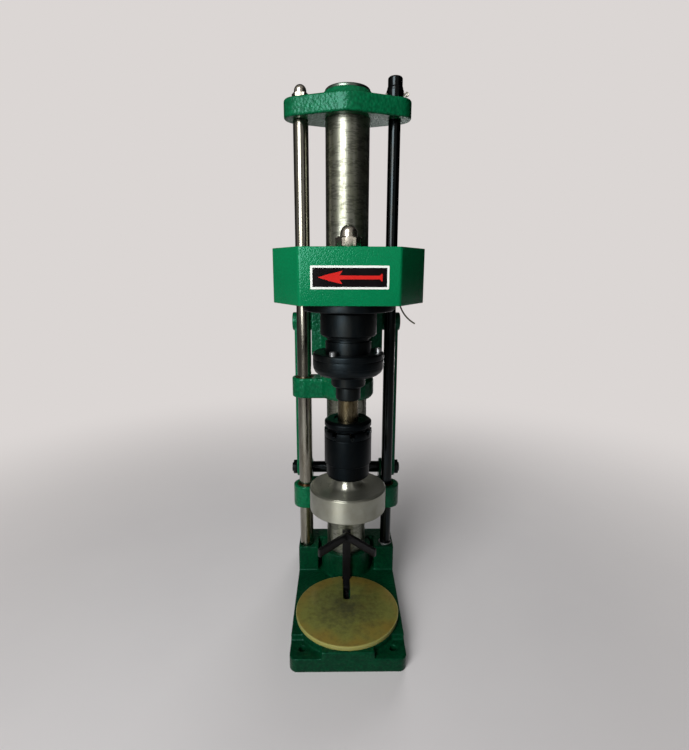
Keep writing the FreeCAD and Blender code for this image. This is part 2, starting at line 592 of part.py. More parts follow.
def cover_plan(radius):
    """Eight-sided plan of the belt cover; each corner's arc has its centre inside."""
    corner = "cover_corner"
    front, back = f"-cover_front + {corner}", f"cover_back - {corner}"
    side, shoulder = f"cover_side - {corner}", "cover_shoulder"
    narrow, tail = f"cover_front_half - 0.6 * {corner}", f"cover_back_half - 0.6 * {corner}"
    return [(f"-({narrow})", front, radius), (narrow, front, radius), (side, f"-{shoulder}", radius),
            (side, shoulder, radius),
            (tail, back, radius), (f"-({tail})", back, radius), (f"-({side})", shoulder, radius),
            (f"-({side})", f"-{shoulder}", radius)]


def belt_cover():
    """Folded cover over the belt, the tray that closes it and the sign plate on its front."""
    shell = plate(cover_plan("cover_corner"), "cover_height", TRAY_BOTTOM)
    DOC.recompute()
    before = shell.Shape.Volume
    sketch = sketch_on(shell, "XY_Plane")
    rounded(sketch, cover_plan("cover_corner - cover_wall"))
    pocket = shell.newObject("PartDesign::Pocket", "Pocket")
    pocket.Profile = sketch
    pocket.Reversed = True
    bind(pocket, Length="cover_height - cover_wall")
    DOC.recompute()
    assert shell.Shape.Volume < 0.5 * before, "the cover is not hollow"
    top = f"{COVER_TOP} - 2 * cover_wall"
    holes = [rod(0, 0, top, f"{COLUMN_R} + cover_gap", "4 * cover_wall"),
             rod("-rod_reach", 0, top, "left_rod_dia / 2 + cover_gap", "4 * cover_wall"),
             rod("rod_reach", 0, top, "right_rod_dia / 2 + cover_gap", "4 * cover_wall"),
             rod(0, "spring_reach", top, "spring_dia / 2 + spring_wire / 2 + cover_gap",
                 "4 * cover_wall"),
             rod(0, SPINDLE_Y, top, "spindle_top_dia / 2 + 2 * cover_gap", "4 * cover_wall")]
    node(cut(shell, *holes), "belt_cover")
    tray = plate(cover_plan("cover_corner - cover_wall - tray_gap"), "tray_thick", TRAY_BOTTOM)
    low = f"{TRAY_BOTTOM} - 1"
    holes = [rod(0, 0, low, f"{COLUMN_R} + sleeve_wall + tray_gap", "2 * tray_thick"),
             rod("-rod_reach", 0, low, "left_rod_dia / 2 + cover_gap", "2 * tray_thick"),
             rod("rod_reach", 0, low, "right_rod_dia / 2 + cover_gap", "2 * tray_thick"),
             rod(0, SPINDLE_Y, low, "cap_spigot_dia / 2 + tray_gap", "2 * tray_thick"),
             rod(0, "motor_reach", low, "motor_dia / 2 + tray_gap", "2 * tray_thick")]
    for x, y in around("cap_screw_circle", CAP_SCREW_ANGLES):
        holes.append(rod(x, f"{SPINDLE_Y} + {y}", low, "cap_screw_dia / 2 + fit_gap", "2 * tray_thick"))
    node(cut(tray, *holes), "cover_tray")
    sign_z = f"{TRAY_BOTTOM} + cover_height / 2 - sign_tall / 2 - sign_drop"
    node(box("-sign_width / 2", "-cover_front - sign_thick", sign_z, "sign_width", "sign_thick",
             "sign_tall"), "sign_plate")


def bearings():
    """Bearing cap with its screws, and the two ball bearings inside the housing."""
    spigot = "cap_spigot_dia / 2"
    flange = "cap_flange_dia / 2"
    cap = turned([("cap_bore / 2", CAP_BOTTOM), (f"{flange} - 1", CAP_BOTTOM),
                  (flange, f"{CAP_BOTTOM} + 1"), (flange, TRAY_BOTTOM),
                  (spigot, TRAY_BOTTOM), (spigot, "head_height"), ("cap_bore / 2", "head_height")],
                  y=SPINDLE_Y)
    tools, screws = [], []
    for x, y in around("cap_screw_circle", CAP_SCREW_ANGLES):
        place_y = f"{SPINDLE_Y} + {y}"
        tools.append(rod(x, place_y, f"{CAP_BOTTOM} - 1", "cap_screw_dia / 2 + fit_gap",
                         "3 * cap_flange_thick"))
        tools.append(rod(x, place_y, f"{CAP_BOTTOM} - 1", "cap_screw_dia - 0.4", "cap_screw_dia + 1"))
        screws.append(fuse(rod(x, place_y, CAP_BOTTOM, "cap_screw_dia - 0.6", "cap_screw_dia - 0.1"),
                           rod(x, place_y, CAP_BOTTOM, "cap_screw_dia / 2",
                               "cap_flange_thick + tray_thick + head_plate - 2")))
    node(cut(cap, *tools), "bearing_cap")
    node(group(*screws), "cap_screws")
    outer, inner, balls = [], [], []
    mean = "((bearing_dia + spindle_dia) / 2)"
    for level in (0, 1):
        z = f"head_height + fit_gap + {level} * (bearing_width + bearing_spacer - 2 * fit_gap)"
        outer.append(tube(0, SPINDLE_Y, z, "bearing_dia / 2 - race_thick", "race_thick", "bearing_width"))
        inner.append(tube(0, SPINDLE_Y, z, "spindle_dia / 2 + fit_gap / 2", "race_thick",
                          "bearing_width"))
        for step in range(9):
            x, y = around(mean, [40 * step])[0]
            balls.append(ball(x, f"{SPINDLE_Y} + {y}", f"{z} + bearing_width / 2", "bearing_ball / 2"))
    node(group(*outer, *balls), "outer_bearings")
    node(group(*inner), "inner_races")


def pulley(dia, bore, y, top, label):
    """Single-groove pulley with a hub that reaches up to the given level."""
    outer = f"{dia} / 2"
    floor = f"{outer} - belt_sink - belt_depth - 0.6"
    middle = "pulley_width / 2"
    profile = [(bore, 0), (outer, 0), (outer, f"{middle} - belt_width / 2 - 2"),
               (floor, f"{middle} - belt_width / 2 - 0.5"),
               (floor, f"{middle} + belt_width / 2 + 0.5"), (outer, f"{middle} + belt_width / 2 + 2"),
               (outer, "pulley_width"), (f"{bore} + 3", "pulley_width"), (f"{bore} + 3", top),
               (bore, top)]
    return node(turned(profile, y=y, z=PULLEY_BOTTOM), label)


def belt_drive():
    """Both pulleys and the belt that runs round the column."""
    hub_top = f"{COVER_TOP} + nut_rise - {PULLEY_BOTTOM}"
    pulley("driven_pulley_dia", "spindle_top_dia / 2 + fit_gap / 2", SPINDLE_Y, hub_top, "driven_pulley")
    pulley("motor_pulley_dia", "motor_shaft_dia / 2 + fit_gap / 2", "motor_reach", "pulley_width + 4",
           "motor_pulley")
    low = f"{PULLEY_BOTTOM} + pulley_width / 2 - belt_width / 2"
    rings = []
    for depth in ("belt_sink", "(belt_sink + belt_depth)"):
        plan = [(0, SPINDLE_Y, f"driven_pulley_dia / 2 - {depth}"),
                (0, "motor_reach", f"motor_pulley_dia / 2 - {depth}")]
        rings.append(plate(plan, "belt_width", low))
    node(cut(*rings), "drive_belt")


def drive_spindle():
    """Spindle in its bearings with the clutch parts that always turn with it."""
    low = f"{CUP_TOP} + 2 * disc_thick + hub_flange + 0.6"
    wide, thin = "spindle_dia / 2", "spindle_top_dia / 2"
    top = f"{COVER_TOP} + nut_rise + nut_hex_height"
    node(turned([(0, low), (wide, low), (wide, PULLEY_BOTTOM), (thin, PULLEY_BOTTOM), (thin, top),
                 (0, top)], y=SPINDLE_Y), "drive_spindle")
    node(domed_nut(0, SPINDLE_Y, f"({COVER_TOP} + nut_rise)", "nut_hex", "nut_hex_height", "nut_dome_dia",
                   f"{thin} + fit_gap", "nut_hex_height + 0.3"), "spindle_nut")
    neck_low = f"({RING_TOP} - ring_web + 1.2)"
    body, neck, bore = "driver_dia / 2", "neck_dia / 2", "spring_bore / 2"
    groove_top = f"{NECK_TOP} - groove_drop"
    shaft_bore = f"{wide} + fit_gap / 2"
    driver = turned([(bore, neck_low), (neck, neck_low), (neck, f"{groove_top} - groove_height"),
                     (f"{neck} - groove_depth", f"{groove_top} - groove_height"),
                     (f"{neck} - groove_depth", groove_top), (neck, groove_top), (neck, NECK_TOP),
                     (f"{body} - 1.5", NECK_TOP),
                     (body, f"{NECK_TOP} + 1.5"), (body, f"{DRIVER_TOP} - 1"),
                     (f"{body} - 1", DRIVER_TOP), (shaft_bore, DRIVER_TOP),
                     (shaft_bore, f"{DRIVER_TOP} - driver_web"), (bore, f"{DRIVER_TOP} - driver_web")],
                     y=SPINDLE_Y)
    node(driver, "clutch_driver")
    cavity, screw = "cavity_dia / 2", "ring_screw_dia / 2"
    ring_r = "ring_dia / 2"
    ring = turned([(cavity, CUP_TOP), (ring_r, CUP_TOP), (ring_r, f"{RING_TOP} - 1"),
                   (f"{ring_r} - 1", RING_TOP),
                   (f"{neck} + fit_gap", RING_TOP), (f"{neck} + fit_gap", f"{RING_TOP} - ring_web"),
                   (cavity, f"{RING_TOP} - ring_web")], y=SPINDLE_Y)
    bowl = [(f"cup_end_dia / 2 + {out} * ({ring_r} - cup_end_dia / 2)",
             f"{CUP_BOTTOM} + {up} * cup_height")
            for out, up in BOWL_SHARES]
    cup = turned([("hub_dia / 2 + 0.6", CUP_BOTTOM), ("cup_end_dia / 2", CUP_BOTTOM), *bowl,
                  (ring_r, CUP_TOP),
                  ("hub_dia / 2 + 0.6", CUP_TOP)], y=SPINDLE_Y)
    screws, ring_tools, cup_tools = [], [], []
    for x, y in around("ring_screw_circle", (0, 120, 240)):
        place_y = f"{SPINDLE_Y} + {y}"
        shank = f"{RING_TOP} - {CUP_TOP} + 2"
        head = cut(rod(x, place_y, RING_TOP, "0.85 * ring_screw_dia", "ring_screw_dia"),
                   hexagon(x, place_y, f"{RING_TOP} + ring_screw_dia / 2", "0.8 * ring_screw_dia",
                           "ring_screw_dia"))
        screws.append(fuse(head, rod(x, place_y, f"{CUP_TOP} - 2", screw, shank)))
        ring_tools.append(rod(x, place_y, f"{CUP_TOP} - 1", f"{screw} + fit_gap", "2 * ring_height"))
        cup_tools.append(rod(x, place_y, f"{CUP_TOP} - 2.2", f"{screw} + fit_gap", 3))
    node(cut(ring, *ring_tools), "clutch_ring")
    node(cut(cup, *cup_tools), "clutch_cup")
    node(group(*screws), "ring_screws")
    discs = []
    for level in (f"{CUP_TOP}", f"{CUP_TOP} + disc_thick + hub_flange + 0.4"):
        discs.append(tube(0, SPINDLE_Y, level, "hub_dia / 2 + 0.6", "cavity_dia / 2 - hub_dia / 2 - 1.2",
                          "disc_thick"))
    node(group(*discs), "friction_discs")
    washers = []
    count = 6
    for i in range(count):
        foot = f"{neck_low} + 0.4 + {i} * ({DRIVER_TOP} - driver_web - {neck_low} - 0.8) / {count}"
        step = f"({DRIVER_TOP} - driver_web - {neck_low} - 0.8) / {count}"
        inner, outer = f"{wide} + 0.5", f"{bore} - 0.5"
        low_in, low_out = (foot, f"{foot} + {step} - 2") if i % 2 else (f"{foot} + {step} - 2", foot)
        washers.append(turned([(inner, low_in), (outer, low_out), (outer, f"{low_out} + 1.8"),
                               (inner, f"{low_in} + 1.8")], y=SPINDLE_Y))
    node(group(*washers), "clutch_springs")


def output_side():
    """What turns with the clutch's output: hub, lock nut, shaft and key."""
    shaft = "shaft_dia / 2"
    bore = f"{shaft} + fit_gap / 2"
    flange_low = f"{CUP_TOP} + disc_thick + 0.2"
    hub, rim = "hub_dia / 2", "cavity_dia / 2 - 1"
    node(turned([(bore, HUB_BOTTOM), (f"{hub} - 1.5", HUB_BOTTOM), (hub, f"{HUB_BOTTOM} + 1.5"),
                 (hub, flange_low), (rim, flange_low),
                 (rim, f"{flange_low} + hub_flange"), (bore, f"{flange_low} + hub_flange")],
                 y=SPINDLE_Y), "driven_hub")
    nut = "nut_dia / 2"
    node(turned([(bore, NUT_BOTTOM), (f"{nut} - 1.5", NUT_BOTTOM), (nut, f"{NUT_BOTTOM} + 1.5"),
                 (nut, f"{HUB_BOTTOM} - 1.5"),
                 (f"{nut} - 1.5", HUB_BOTTOM), (bore, HUB_BOTTOM)], y=SPINDLE_Y), "lock_nut")
    low = f"({FLANGE_TOP} - shaft_tail)"
    bar = rod(0, SPINDLE_Y, low, shaft, f"{flange_low} + hub_flange - {low}")
    key_low = f"({FLANGE_TOP} - shaft_tail + 4 + float_room)"
    key_length = f"({NUT_BOTTOM} - 3 - {key_low})"
    seat = box("-key_width / 2", f"{SPINDLE_Y} + {shaft} - key_depth", key_low, "key_width",
               "2 * key_depth", key_length)
    node(cut(bar, seat), "output_shaft")
    node(box("-key_width / 2 + fit_gap", f"{SPINDLE_Y} + {shaft} - key_depth + fit_gap",
             f"{key_low} + fit_gap",
             "key_width - 2 * fit_gap", "2 * key_depth - 1.2", f"{key_length} - 2 * fit_gap"), "shaft_key")


def chuck():
    """Chuck that floats on the output shaft and carries the cap head."""
    shaft = "shaft_dia / 2"
    bore = f"{shaft} + 0.07"
    rim, neck = "flange_dia / 2", "chuck_neck_dia / 2"
    flange = turned([(bore, CROWN_TOP), (neck, CROWN_TOP), (neck, f"{CROWN_TOP} + chuck_neck"),
                     (f"{rim} - 1", f"{CROWN_TOP} + chuck_neck"),
                     (rim, f"{CROWN_TOP} + chuck_neck + 1"), (rim, f"{FLANGE_TOP} - 2"),
                     (f"{rim} - 3", FLANGE_TOP), (bore, FLANGE_TOP)], y=SPINDLE_Y)
    keyway = box("-key_width / 2 - 0.1", f"{SPINDLE_Y}", f"{CROWN_TOP} - 1", "key_width + 0.2",
                 f"{shaft} + key_depth", "2 * flange_height")
    node(cut(flange, keyway), "chuck_flange")
    crown_r = "crown_dia / 2"
    relief = f"({shaft} + key_depth + 0.5)"
    crown = tube(0, SPINDLE_Y, CHUCK_TOP, relief, f"{crown_r} - {relief}", "crown_height")
    slots = []
    for step in range(4):
        slot = box(f"-{crown_r} - 1", "-crown_slot / 2", 0, f"2 * {crown_r} + 2", "crown_slot",
                   "crown_height")
        turn = Rotation(Vector(0, 0, 1), 45 * step + 10)
        slots.append(place(group(slot), 0, SPINDLE_Y, f"{CROWN_TOP} - crown_slot_depth", turn))
    screw_holes, screws = [], []
    for angle in (-125, -80, 10, 100):
        x, y = around(f"(1.64 * {crown_r})", [angle])[0]
        turn = Rotation(Vector(0, 0, 1), angle) * Rotation(Vector(0, 1, 0), 90)
        body = cut(rod(0, 0, 0, SET_R, 6), hexagon(0, 0, 4, SET_R, 3))
        for item, bucket in ((body, screws), (rod(0, 0, 0, f"{SET_R} + fit_gap", 8), screw_holes)):
            bucket.append(place(group(item), x, f"{SPINDLE_Y} + {y}", f"{CHUCK_TOP} + {SET_R} + 0.3",
                                turn))
    node(cut(crown, *slots, *screw_holes), "chuck_crown")
    node(group(*screws), "chuck_screws")
    body_r = "chuck_dia / 2"
    floor = f"({LOWER_TOP} + chuck_floor)"
    step = f"({FLANGE_TOP} - shaft_tail + 4)"
    node(turned([(0, LOWER_TOP), (f"{body_r} - 0.8", LOWER_TOP), (body_r, f"{LOWER_TOP} + 0.8"),
                 (body_r, f"{CHUCK_TOP} - 0.8"),
                 (f"{body_r} - 0.8", CHUCK_TOP), (relief, CHUCK_TOP), (relief, step), (bore, step),
                 (bore, floor), (0, floor)], y=SPINDLE_Y), "chuck_body")
    shank, lower = "shank_dia / 2", "lower_dia / 2"
    node(turned([(f"{shank} + fit_gap", LOWER_BOTTOM), (f"{lower} - 2.5", LOWER_BOTTOM),
                 (lower, f"{LOWER_BOTTOM} + 2.5"),
                 (lower, LOWER_TOP), (f"{shank} + fit_gap", LOWER_TOP)], y=SPINDLE_Y), "chuck_lower_ring")
    wire = 1
    length = f"({step} - 4 - {floor})"
    coil = helix(f"{shaft} - 4", wire, f"({length} - 2.6) / 4.5", f"{length} - 2.6")
    node(place(coil, 0, SPINDLE_Y, f"{floor} + 1.3"), "float_spring")


def helix(radius, wire, pitch, height):
    """Round wire wound to a coil that starts at the XY plane."""
    path = Part.makeHelix(number(pitch), number(height), number(radius))
    section = Part.Wire(Part.makeCircle(number(wire), Vector(number(radius), 0, 0), Vector(0, 1, 0)))
    coil = DOC.addObject("Part::Feature", "Coil")
    coil.Shape = Part.Wire(path).makePipeShell([section], True, True)
    return coil


def cap_head():
    """Turned aluminium head with a rubber cone that grips the cap."""
    shank, neck = "shank_dia / 2", "head_neck_dia / 2"
    rim, mouth, roof = "head_dia / 2", "mouth_dia / 2", "crown_mouth_dia / 2"
    profile = [(0, f"{LOWER_TOP} - 1"), (shank, f"{LOWER_TOP} - 1"), (shank, LOWER_BOTTOM),
               (neck, LOWER_BOTTOM), (neck, f"{LOWER_BOTTOM} - head_neck_height"),
               (f"{neck} + 2", f"{LOWER_BOTTOM} - head_neck_height - 0.5 * head_flare_height"),
               ("head_flare_dia / 2", DISC_TOP),
               (f"{rim} - 1", DISC_TOP), (rim, f"{DISC_TOP} - 1"), (rim, f"{DISC_BOTTOM} + 1"),
               (f"{rim} - 1", DISC_BOTTOM),
               (mouth, DISC_BOTTOM), (roof, f"{DISC_BOTTOM} + mouth_depth"),
               (0, f"{DISC_BOTTOM} + mouth_depth")]
    profile = [(x, y) for x, y in reversed(profile)]
    node(turned(profile, y=SPINDLE_Y), "cap_head")
    top = f"{DISC_BOTTOM} + mouth_depth - 1"
    shift = "fit_gap * 2"
    slope = f"(({mouth}) - ({roof})) / mouth_depth"
    node(turned([(f"{mouth} - {shift} - cone_wall", f"{DISC_BOTTOM} + 1"),
                 (f"{mouth} - {shift} - {slope}", f"{DISC_BOTTOM} + 1"),
                 (f"{roof} - {shift} + {slope}", top), (f"{roof} - {shift} - cone_wall + 2", top)],
                 y=SPINDLE_Y), "cap_cone")


def side_links():
    """Links from the head down to the lower bracket, with their pins and the cross shaft."""
    plan = [(0, 0, "link_bottom_dia / 2"), (0, f"{LINK_TOP} - link_bottom", "link_top_dia / 2")]
    inner = "link_outer - link_thick"
    links, pins, nuts = [], [], []
    for side in (-1, 1):
        low_x = "-link_outer" if side < 0 else inner
        bar = place(group(plate(plan, "link_thick")), low_x, "link_back", "link_bottom", TO_YZ)
        boss_x = "-link_outer - 3" if side < 0 else "link_outer"
        boss = rod(boss_x, "link_back", LINK_TOP, "lug_dia / 2", 3, TO_X)
        boss = fuse(boss, rod(low_x, "link_back", LINK_TOP, "lug_dia / 2", "link_thick", TO_X))
        tools = [rod(low_x, "link_back", "link_bottom", "cross_end_dia / 2 + fit_gap", "link_thick",
                     TO_X),
                 rod("-link_outer - 2" if side < 0 else f"{inner} - 1", "link_back", LINK_TOP,
                     "pivot_dia / 2 + fit_gap", "link_thick + 3", TO_X)]
        links.append(cut(fuse(bar, boss), *tools))
        pin_x = "-link_outer - 1.9" if side < 0 else "lug_inner + 0.1"
        pins.append(rod(pin_x, "link_back", LINK_TOP, "pivot_dia / 2", "link_outer - lug_inner + 1.8",
                        TO_X))
        nut_x = "-link_outer - cross_nut_height" if side < 0 else "link_outer"
        nuts.append(cut(hexagon(nut_x, "link_back", "link_bottom", "cross_nut_hex", "cross_nut_height",
                                TO_X),
                        rod(nut_x, "link_back", "link_bottom", "cross_end_dia / 2 + fit_gap",
                            "cross_nut_height", TO_X)))
    node(group(*links), "side_links")
    node(group(*pins), "link_pins")
    node(group(*nuts), "cross_shaft_nuts")
    half = f"{inner} - fit_gap"
    node(fuse(rod(f"-({half})", "link_back", "link_bottom", "cross_dia / 2", f"2 * ({half})", TO_X),
              rod("-link_outer - cross_nut_height - 2", "link_back", "link_bottom", "cross_end_dia / 2",
                  "2 * (link_outer + cross_nut_height + 2)", TO_X)),
         "cross_shaft")


def lower_bracket():
    """Guide bracket on both rods that carries the cross shaft behind the column."""
    end_r = "bracket_end_dia / 2"
    inner = "link_outer - link_thick - tray_gap"
    solids = [box(f"-rod_reach", "bridge_front", "bracket_bottom + 3", "2 * rod_reach", "bridge_thick",
                  "bridge_height")]
    tools = []
    for side, dia in ((-1, "left_rod_dia"), (1, "right_rod_dia")):
        solids.append(rod(f"{side} * rod_reach", 0, "bracket_bottom", end_r, "bracket_height"))
        low_x = f"-({inner})" if side < 0 else "block_inner + 10"
        width = f"{inner} - block_inner - 10"
        solids.append(box(low_x, 0, "bracket_bottom", width, "link_back", "bracket_height - 4"))
        solids.append(rod(low_x, "link_back", "link_bottom", "link_bottom_dia / 2", width, TO_X))
        solids.append(box(low_x, "link_back - link_bottom_dia / 2", "bracket_bottom", width,
                          "link_bottom_dia", "link_bottom - bracket_bottom"))
        tools.append(rod(f"{side} * rod_reach", 0, "bracket_bottom - 1",
                         f"{dia} / 2 + bush_wall + 2 * fit_gap", "bracket_height + 20"))
    tools.append(rod("-link_outer", "link_back", "link_bottom", "cross_dia / 2 + fit_gap",
                     "2 * link_outer", TO_X))
    node(cut(fuse(*solids), *tools), "lower_bracket")
    eye_x = "-eye_width / 2"
    tail_y = "(link_back + eye_back - eye_width / 2)"
    eye_z = "(link_bottom - eye_drop)"
    eye = fuse(rod(eye_x, "link_back", "link_bottom", "eye_dia / 2", "eye_width", TO_X),
               rod(0, tail_y, eye_z, "eye_bore", "eye_width", TO_Y),
               box("-eye_bore", tail_y, eye_z, "2 * eye_bore", "eye_width", "eye_drop"))
    node(cut(eye, rod("-eye_bore", "link_back", "link_bottom", "cross_dia / 2 + fit_gap", "2 * eye_bore",
                      TO_X),
             rod(0, tail_y, eye_z, "eye_bore / 2", "eye_width", TO_Y)), "pull_eye")


def motor():
    """Flange motor hung under the head plate behind the column."""
    radius = "motor_dia / 2"
    low = "(head_height - motor_length)"
    body = turned([(0, low), (f"{radius} - fin_depth", low),
                   (f"{radius} - fin_depth", "head_height - 10"), (radius, "head_height - 10"),
                   (radius, "head_height"), (0, "head_height")], y="motor_reach")
    solids = [body, rod(0, "motor_reach", "head_height - 1", "motor_spigot / 2", 5)]
    count = int(SIZES["Motor"]["fin_count"])
    for i in range(count):
        fin = box(0, "-fin_width / 2", 0, f"{radius} - 0.4", "fin_width", "motor_length - 11")
        solids.append(place(group(fin), 0, "motor_reach", low,
                            Rotation(Vector(0, 0, 1), 360 * i / count)))
    bell = turned([(0, f"{low} - bell_height"), (f"{radius} - 12", f"{low} - bell_height"),
                   (f"{radius} - 3", f"{low} - bell_height + 7"),
                   (f"{radius} - 1", f"{low}"), (0, low)], y="motor_reach")
    solids.append(bell)
    tools = [rod(0, "motor_reach", f"{low} - 8", "motor_shaft_dia / 2 + fit_gap", "2 * motor_length")]
    bolts = []
    for x, y in around("motor_bolt_circle", MOTOR_BOLT_ANGLES):
        y = f"motor_reach + {y}"
        tools.append(rod(x, y, "head_height - 9", "motor_bolt_dia / 2 + fit_gap",
                         "2 * head_plate"))
        shank = rod(x, y, "head_height - 8", "motor_bolt_dia / 2", "head_plate + 8")
        bolts.append(fuse(shank, hexagon(x, y, "head_height + head_plate", "1.6 * motor_bolt_dia",
                                         "0.7 * motor_bolt_dia")))
    node(cut(fuse(*solids), *tools), "motor_body")
    node(group(*bolts), "motor_bolts")
    shaft_low = f"({low} - 7)"
    shaft_top = f"{PULLEY_BOTTOM} + pulley_width + 2"
    node(rod(0, "motor_reach", shaft_low, "motor_shaft_dia / 2", f"{shaft_top} - {shaft_low}"),
         "motor_shaft")
    back = f"motor_reach + {radius}"
    box_z = f"{low} + 22"
    lid_y = f"{back} + box_depth"
    housing = box("-box_width / 2", f"{back} - 6", box_z, "box_width", "box_depth + 6", "box_tall")
    lid = box("-box_width / 2 - 1", lid_y, f"{box_z} - 1", "box_width + 2", 3, "box_tall + 2")
    gland_y = f"{back} + box_depth / 2"
    nut = hexagon(0, gland_y, f"{box_z} - gland_length / 2", "gland_dia", "gland_length / 2 + 1")
    nose = cone(0, gland_y, f"{box_z} - gland_length", "gland_dia / 2 - 3", "gland_dia / 2 - 1",
                "gland_length / 2")
    mouth = rod(0, gland_y, f"{box_z} - gland_length - 1", "gland_dia / 2 - 5", "gland_length - 2")
    node(cut(fuse(housing, lid, nut, nose), rod(0, "motor_reach", 0, f"{radius} + fit_gap",
                                                "head_height"), mouth), "terminal_box")


def balance_spring():
    """Spring behind the column from the head plate to the yoke."""
    foot, top = SPRING_FOOT, YOKE_BOTTOM
    rise = f"({top} - {foot} - spring_wire - 0.6)"
    coil = helix("spring_dia / 2", "spring_wire / 2", f"{rise} / spring_coils", rise)
    node(place(coil, 0, "spring_reach", f"{foot} + spring_wire / 2 + 0.3"), "balance_spring")


def cable_tie():
    """Tail of the tie that holds the motor lead under the tray."""
    x, y = "rod_reach + collar_dia / 4", "-spindle_reach / 2"
    z = f"{TRAY_BOTTOM} - tie_head / 2"
    head = box(f"{x} - tie_head / 2", f"{y} - tie_head / 2", f"{TRAY_BOTTOM} - tie_head", "tie_head",
               "tie_head", "tie_head")
    tail = bind(DOC.addObject("Part::Torus", "Tail"), Radius1="tie_bend", Radius2="tie_dia / 2")
    tail.Angle3 = 50
    turn = Rotation(Vector(1, 0, 0), -90) * Rotation(Vector(0, 0, 1), 118)
    place(tail, f"{x} + tie_bend * cos(12)", y, f"{z} + tie_bend * sin(12)", turn)
    node(fuse(head, tail), "cable_tie")


for build in (base_casting, column, top_yoke, rods, jar_pad, jar_locator, head_casting, belt_cover,
              bearings, belt_drive,
              drive_spindle, output_side, chuck, cap_head, side_links, lower_bracket, motor,
              balance_spring, cable_tie):
    build()


def write_out():
    """Checks every object and writes each sub-part to its own file."""
    DOC.recompute()
    for item in DOC.Objects:
        bad = {"Invalid", "Error"} & set(item.State)
        assert not bad, f"{item.Name} {item.Label} {item.State}"
    os.makedirs("parts", exist_ok=True)
    for item in NODES:
        assert not item.Shape.isNull() and item.Shape.isValid(), item.Label
        item.Shape.exportStep(f"parts/{item.Label}.step")


write_out()
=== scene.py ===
"""Looks of a bench jar capping machine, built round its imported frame."""

import logging
import math
from dataclasses import dataclass
from enum import Enum

import bmesh
import bpy
from mathutils import Matrix, Vector


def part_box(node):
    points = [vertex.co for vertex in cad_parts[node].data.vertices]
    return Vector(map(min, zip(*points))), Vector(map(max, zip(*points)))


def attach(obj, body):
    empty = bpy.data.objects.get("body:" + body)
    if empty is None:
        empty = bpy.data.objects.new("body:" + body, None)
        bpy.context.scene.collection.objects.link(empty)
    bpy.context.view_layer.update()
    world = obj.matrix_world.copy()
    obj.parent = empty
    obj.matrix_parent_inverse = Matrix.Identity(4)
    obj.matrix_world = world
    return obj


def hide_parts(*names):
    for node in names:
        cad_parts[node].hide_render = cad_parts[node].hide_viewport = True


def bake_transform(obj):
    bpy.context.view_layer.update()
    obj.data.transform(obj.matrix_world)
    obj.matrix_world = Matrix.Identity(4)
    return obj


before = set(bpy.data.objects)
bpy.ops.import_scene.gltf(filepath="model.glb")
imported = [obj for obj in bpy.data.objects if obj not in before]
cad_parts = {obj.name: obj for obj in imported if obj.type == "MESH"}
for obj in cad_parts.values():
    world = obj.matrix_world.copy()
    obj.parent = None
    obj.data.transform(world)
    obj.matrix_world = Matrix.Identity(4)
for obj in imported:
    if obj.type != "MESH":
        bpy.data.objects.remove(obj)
log = logging.getLogger("capping_machine")

MM = 0.001
SPINDLE_Y = -108.0
POLE = 1e-6
CREASE = 34.0

Point = tuple[float, ...]
Span = tuple[float, float]
Tree = bpy.types.NodeTree
Socket = bpy.types.NodeSocket


class Body(Enum):
    """Bodies of the machine that pieces ride on."""

    BASE = "base"
    LOCATOR = "locator"
    HEAD = "head"
    SPINDLE = "drive_spindle"
    DRIVEN = "driven"
    CHUCK = "chuck"
    ROTOR = "motor_rotor"


def linear(code: str) -> tuple[float, float, float, float]:
    """Turns a colour written in sRGB hex to linear values.

    Args:
        code: six hex digits after a hash.

    Returns:
        Red, green, blue and a full alpha.
    """
    parts = [int(code[i : i + 2], 16) / 255 for i in (1, 3, 5)]
    red, green, blue = (p / 12.92 if p <= 0.04045 else ((p + 0.055) / 1.055) ** 2.4 for p in parts)
    return red, green, blue, 1.0


def add(tree: Tree, kind: str, inputs: dict | None = None, **settings: object) -> bpy.types.Node:
    """Adds a node to a tree.

    Args:
        tree: the tree it goes into.
        kind: Blender's name for the node.
        inputs: value or output socket for each input, by name or number.
        settings: properties of the node.

    Returns:
        The new node.
    """
    node = tree.nodes.new(kind)
    for name, value in settings.items():
        setattr(node, name, value)
    for key, value in (inputs or {}).items():
        if isinstance(value, Socket):
            tree.links.new(value, node.inputs[key])
        else:
            node.inputs[key].default_value = value
    return node


def surface(name: str, **inputs: object) -> tuple[bpy.types.Material, bpy.types.Node, Socket]:
    """Starts a material with one shader.

    Args:
        name: name of the material.
        inputs: plain values for the shader, with underscores for spaces.

    Returns:
        The material, its shader and the object coordinates.
    """
    material = bpy.data.materials.new(name)
    material.use_nodes = True
    tree = material.node_tree
    tree.nodes.clear()
    shader = add(tree, "ShaderNodeBsdfPrincipled", {k.replace("_", " "): v for k, v in inputs.items()})
    add(tree, "ShaderNodeOutputMaterial", {"Surface": shader.outputs[0]})
    return material, shader, add(tree, "ShaderNodeTexCoord").outputs["Object"]


def feed(shader: bpy.types.Node, **sockets: Socket) -> None:
    """Links sockets to a shader's inputs, named with underscores for spaces."""
    for name, socket in sockets.items():
        shader.id_data.links.new(socket, shader.inputs[name.replace("_", " ")])


def calculate(tree: Tree, operation: str, *values: Socket | float) -> Socket:
    """The result of one operation on plain values."""
    return add(tree, "ShaderNodeMath", dict(enumerate(values)), operation=operation).outputs[0]


def vector(tree: Tree, operation: str, *values: Socket | Point) -> Socket:
    """The result of one operation on vectors, a plain value if it is a length."""
    node = add(tree, "ShaderNodeVectorMath", dict(enumerate(values)), operation=operation)
    return node.outputs["Value" if operation == "LENGTH" else "Vector"]


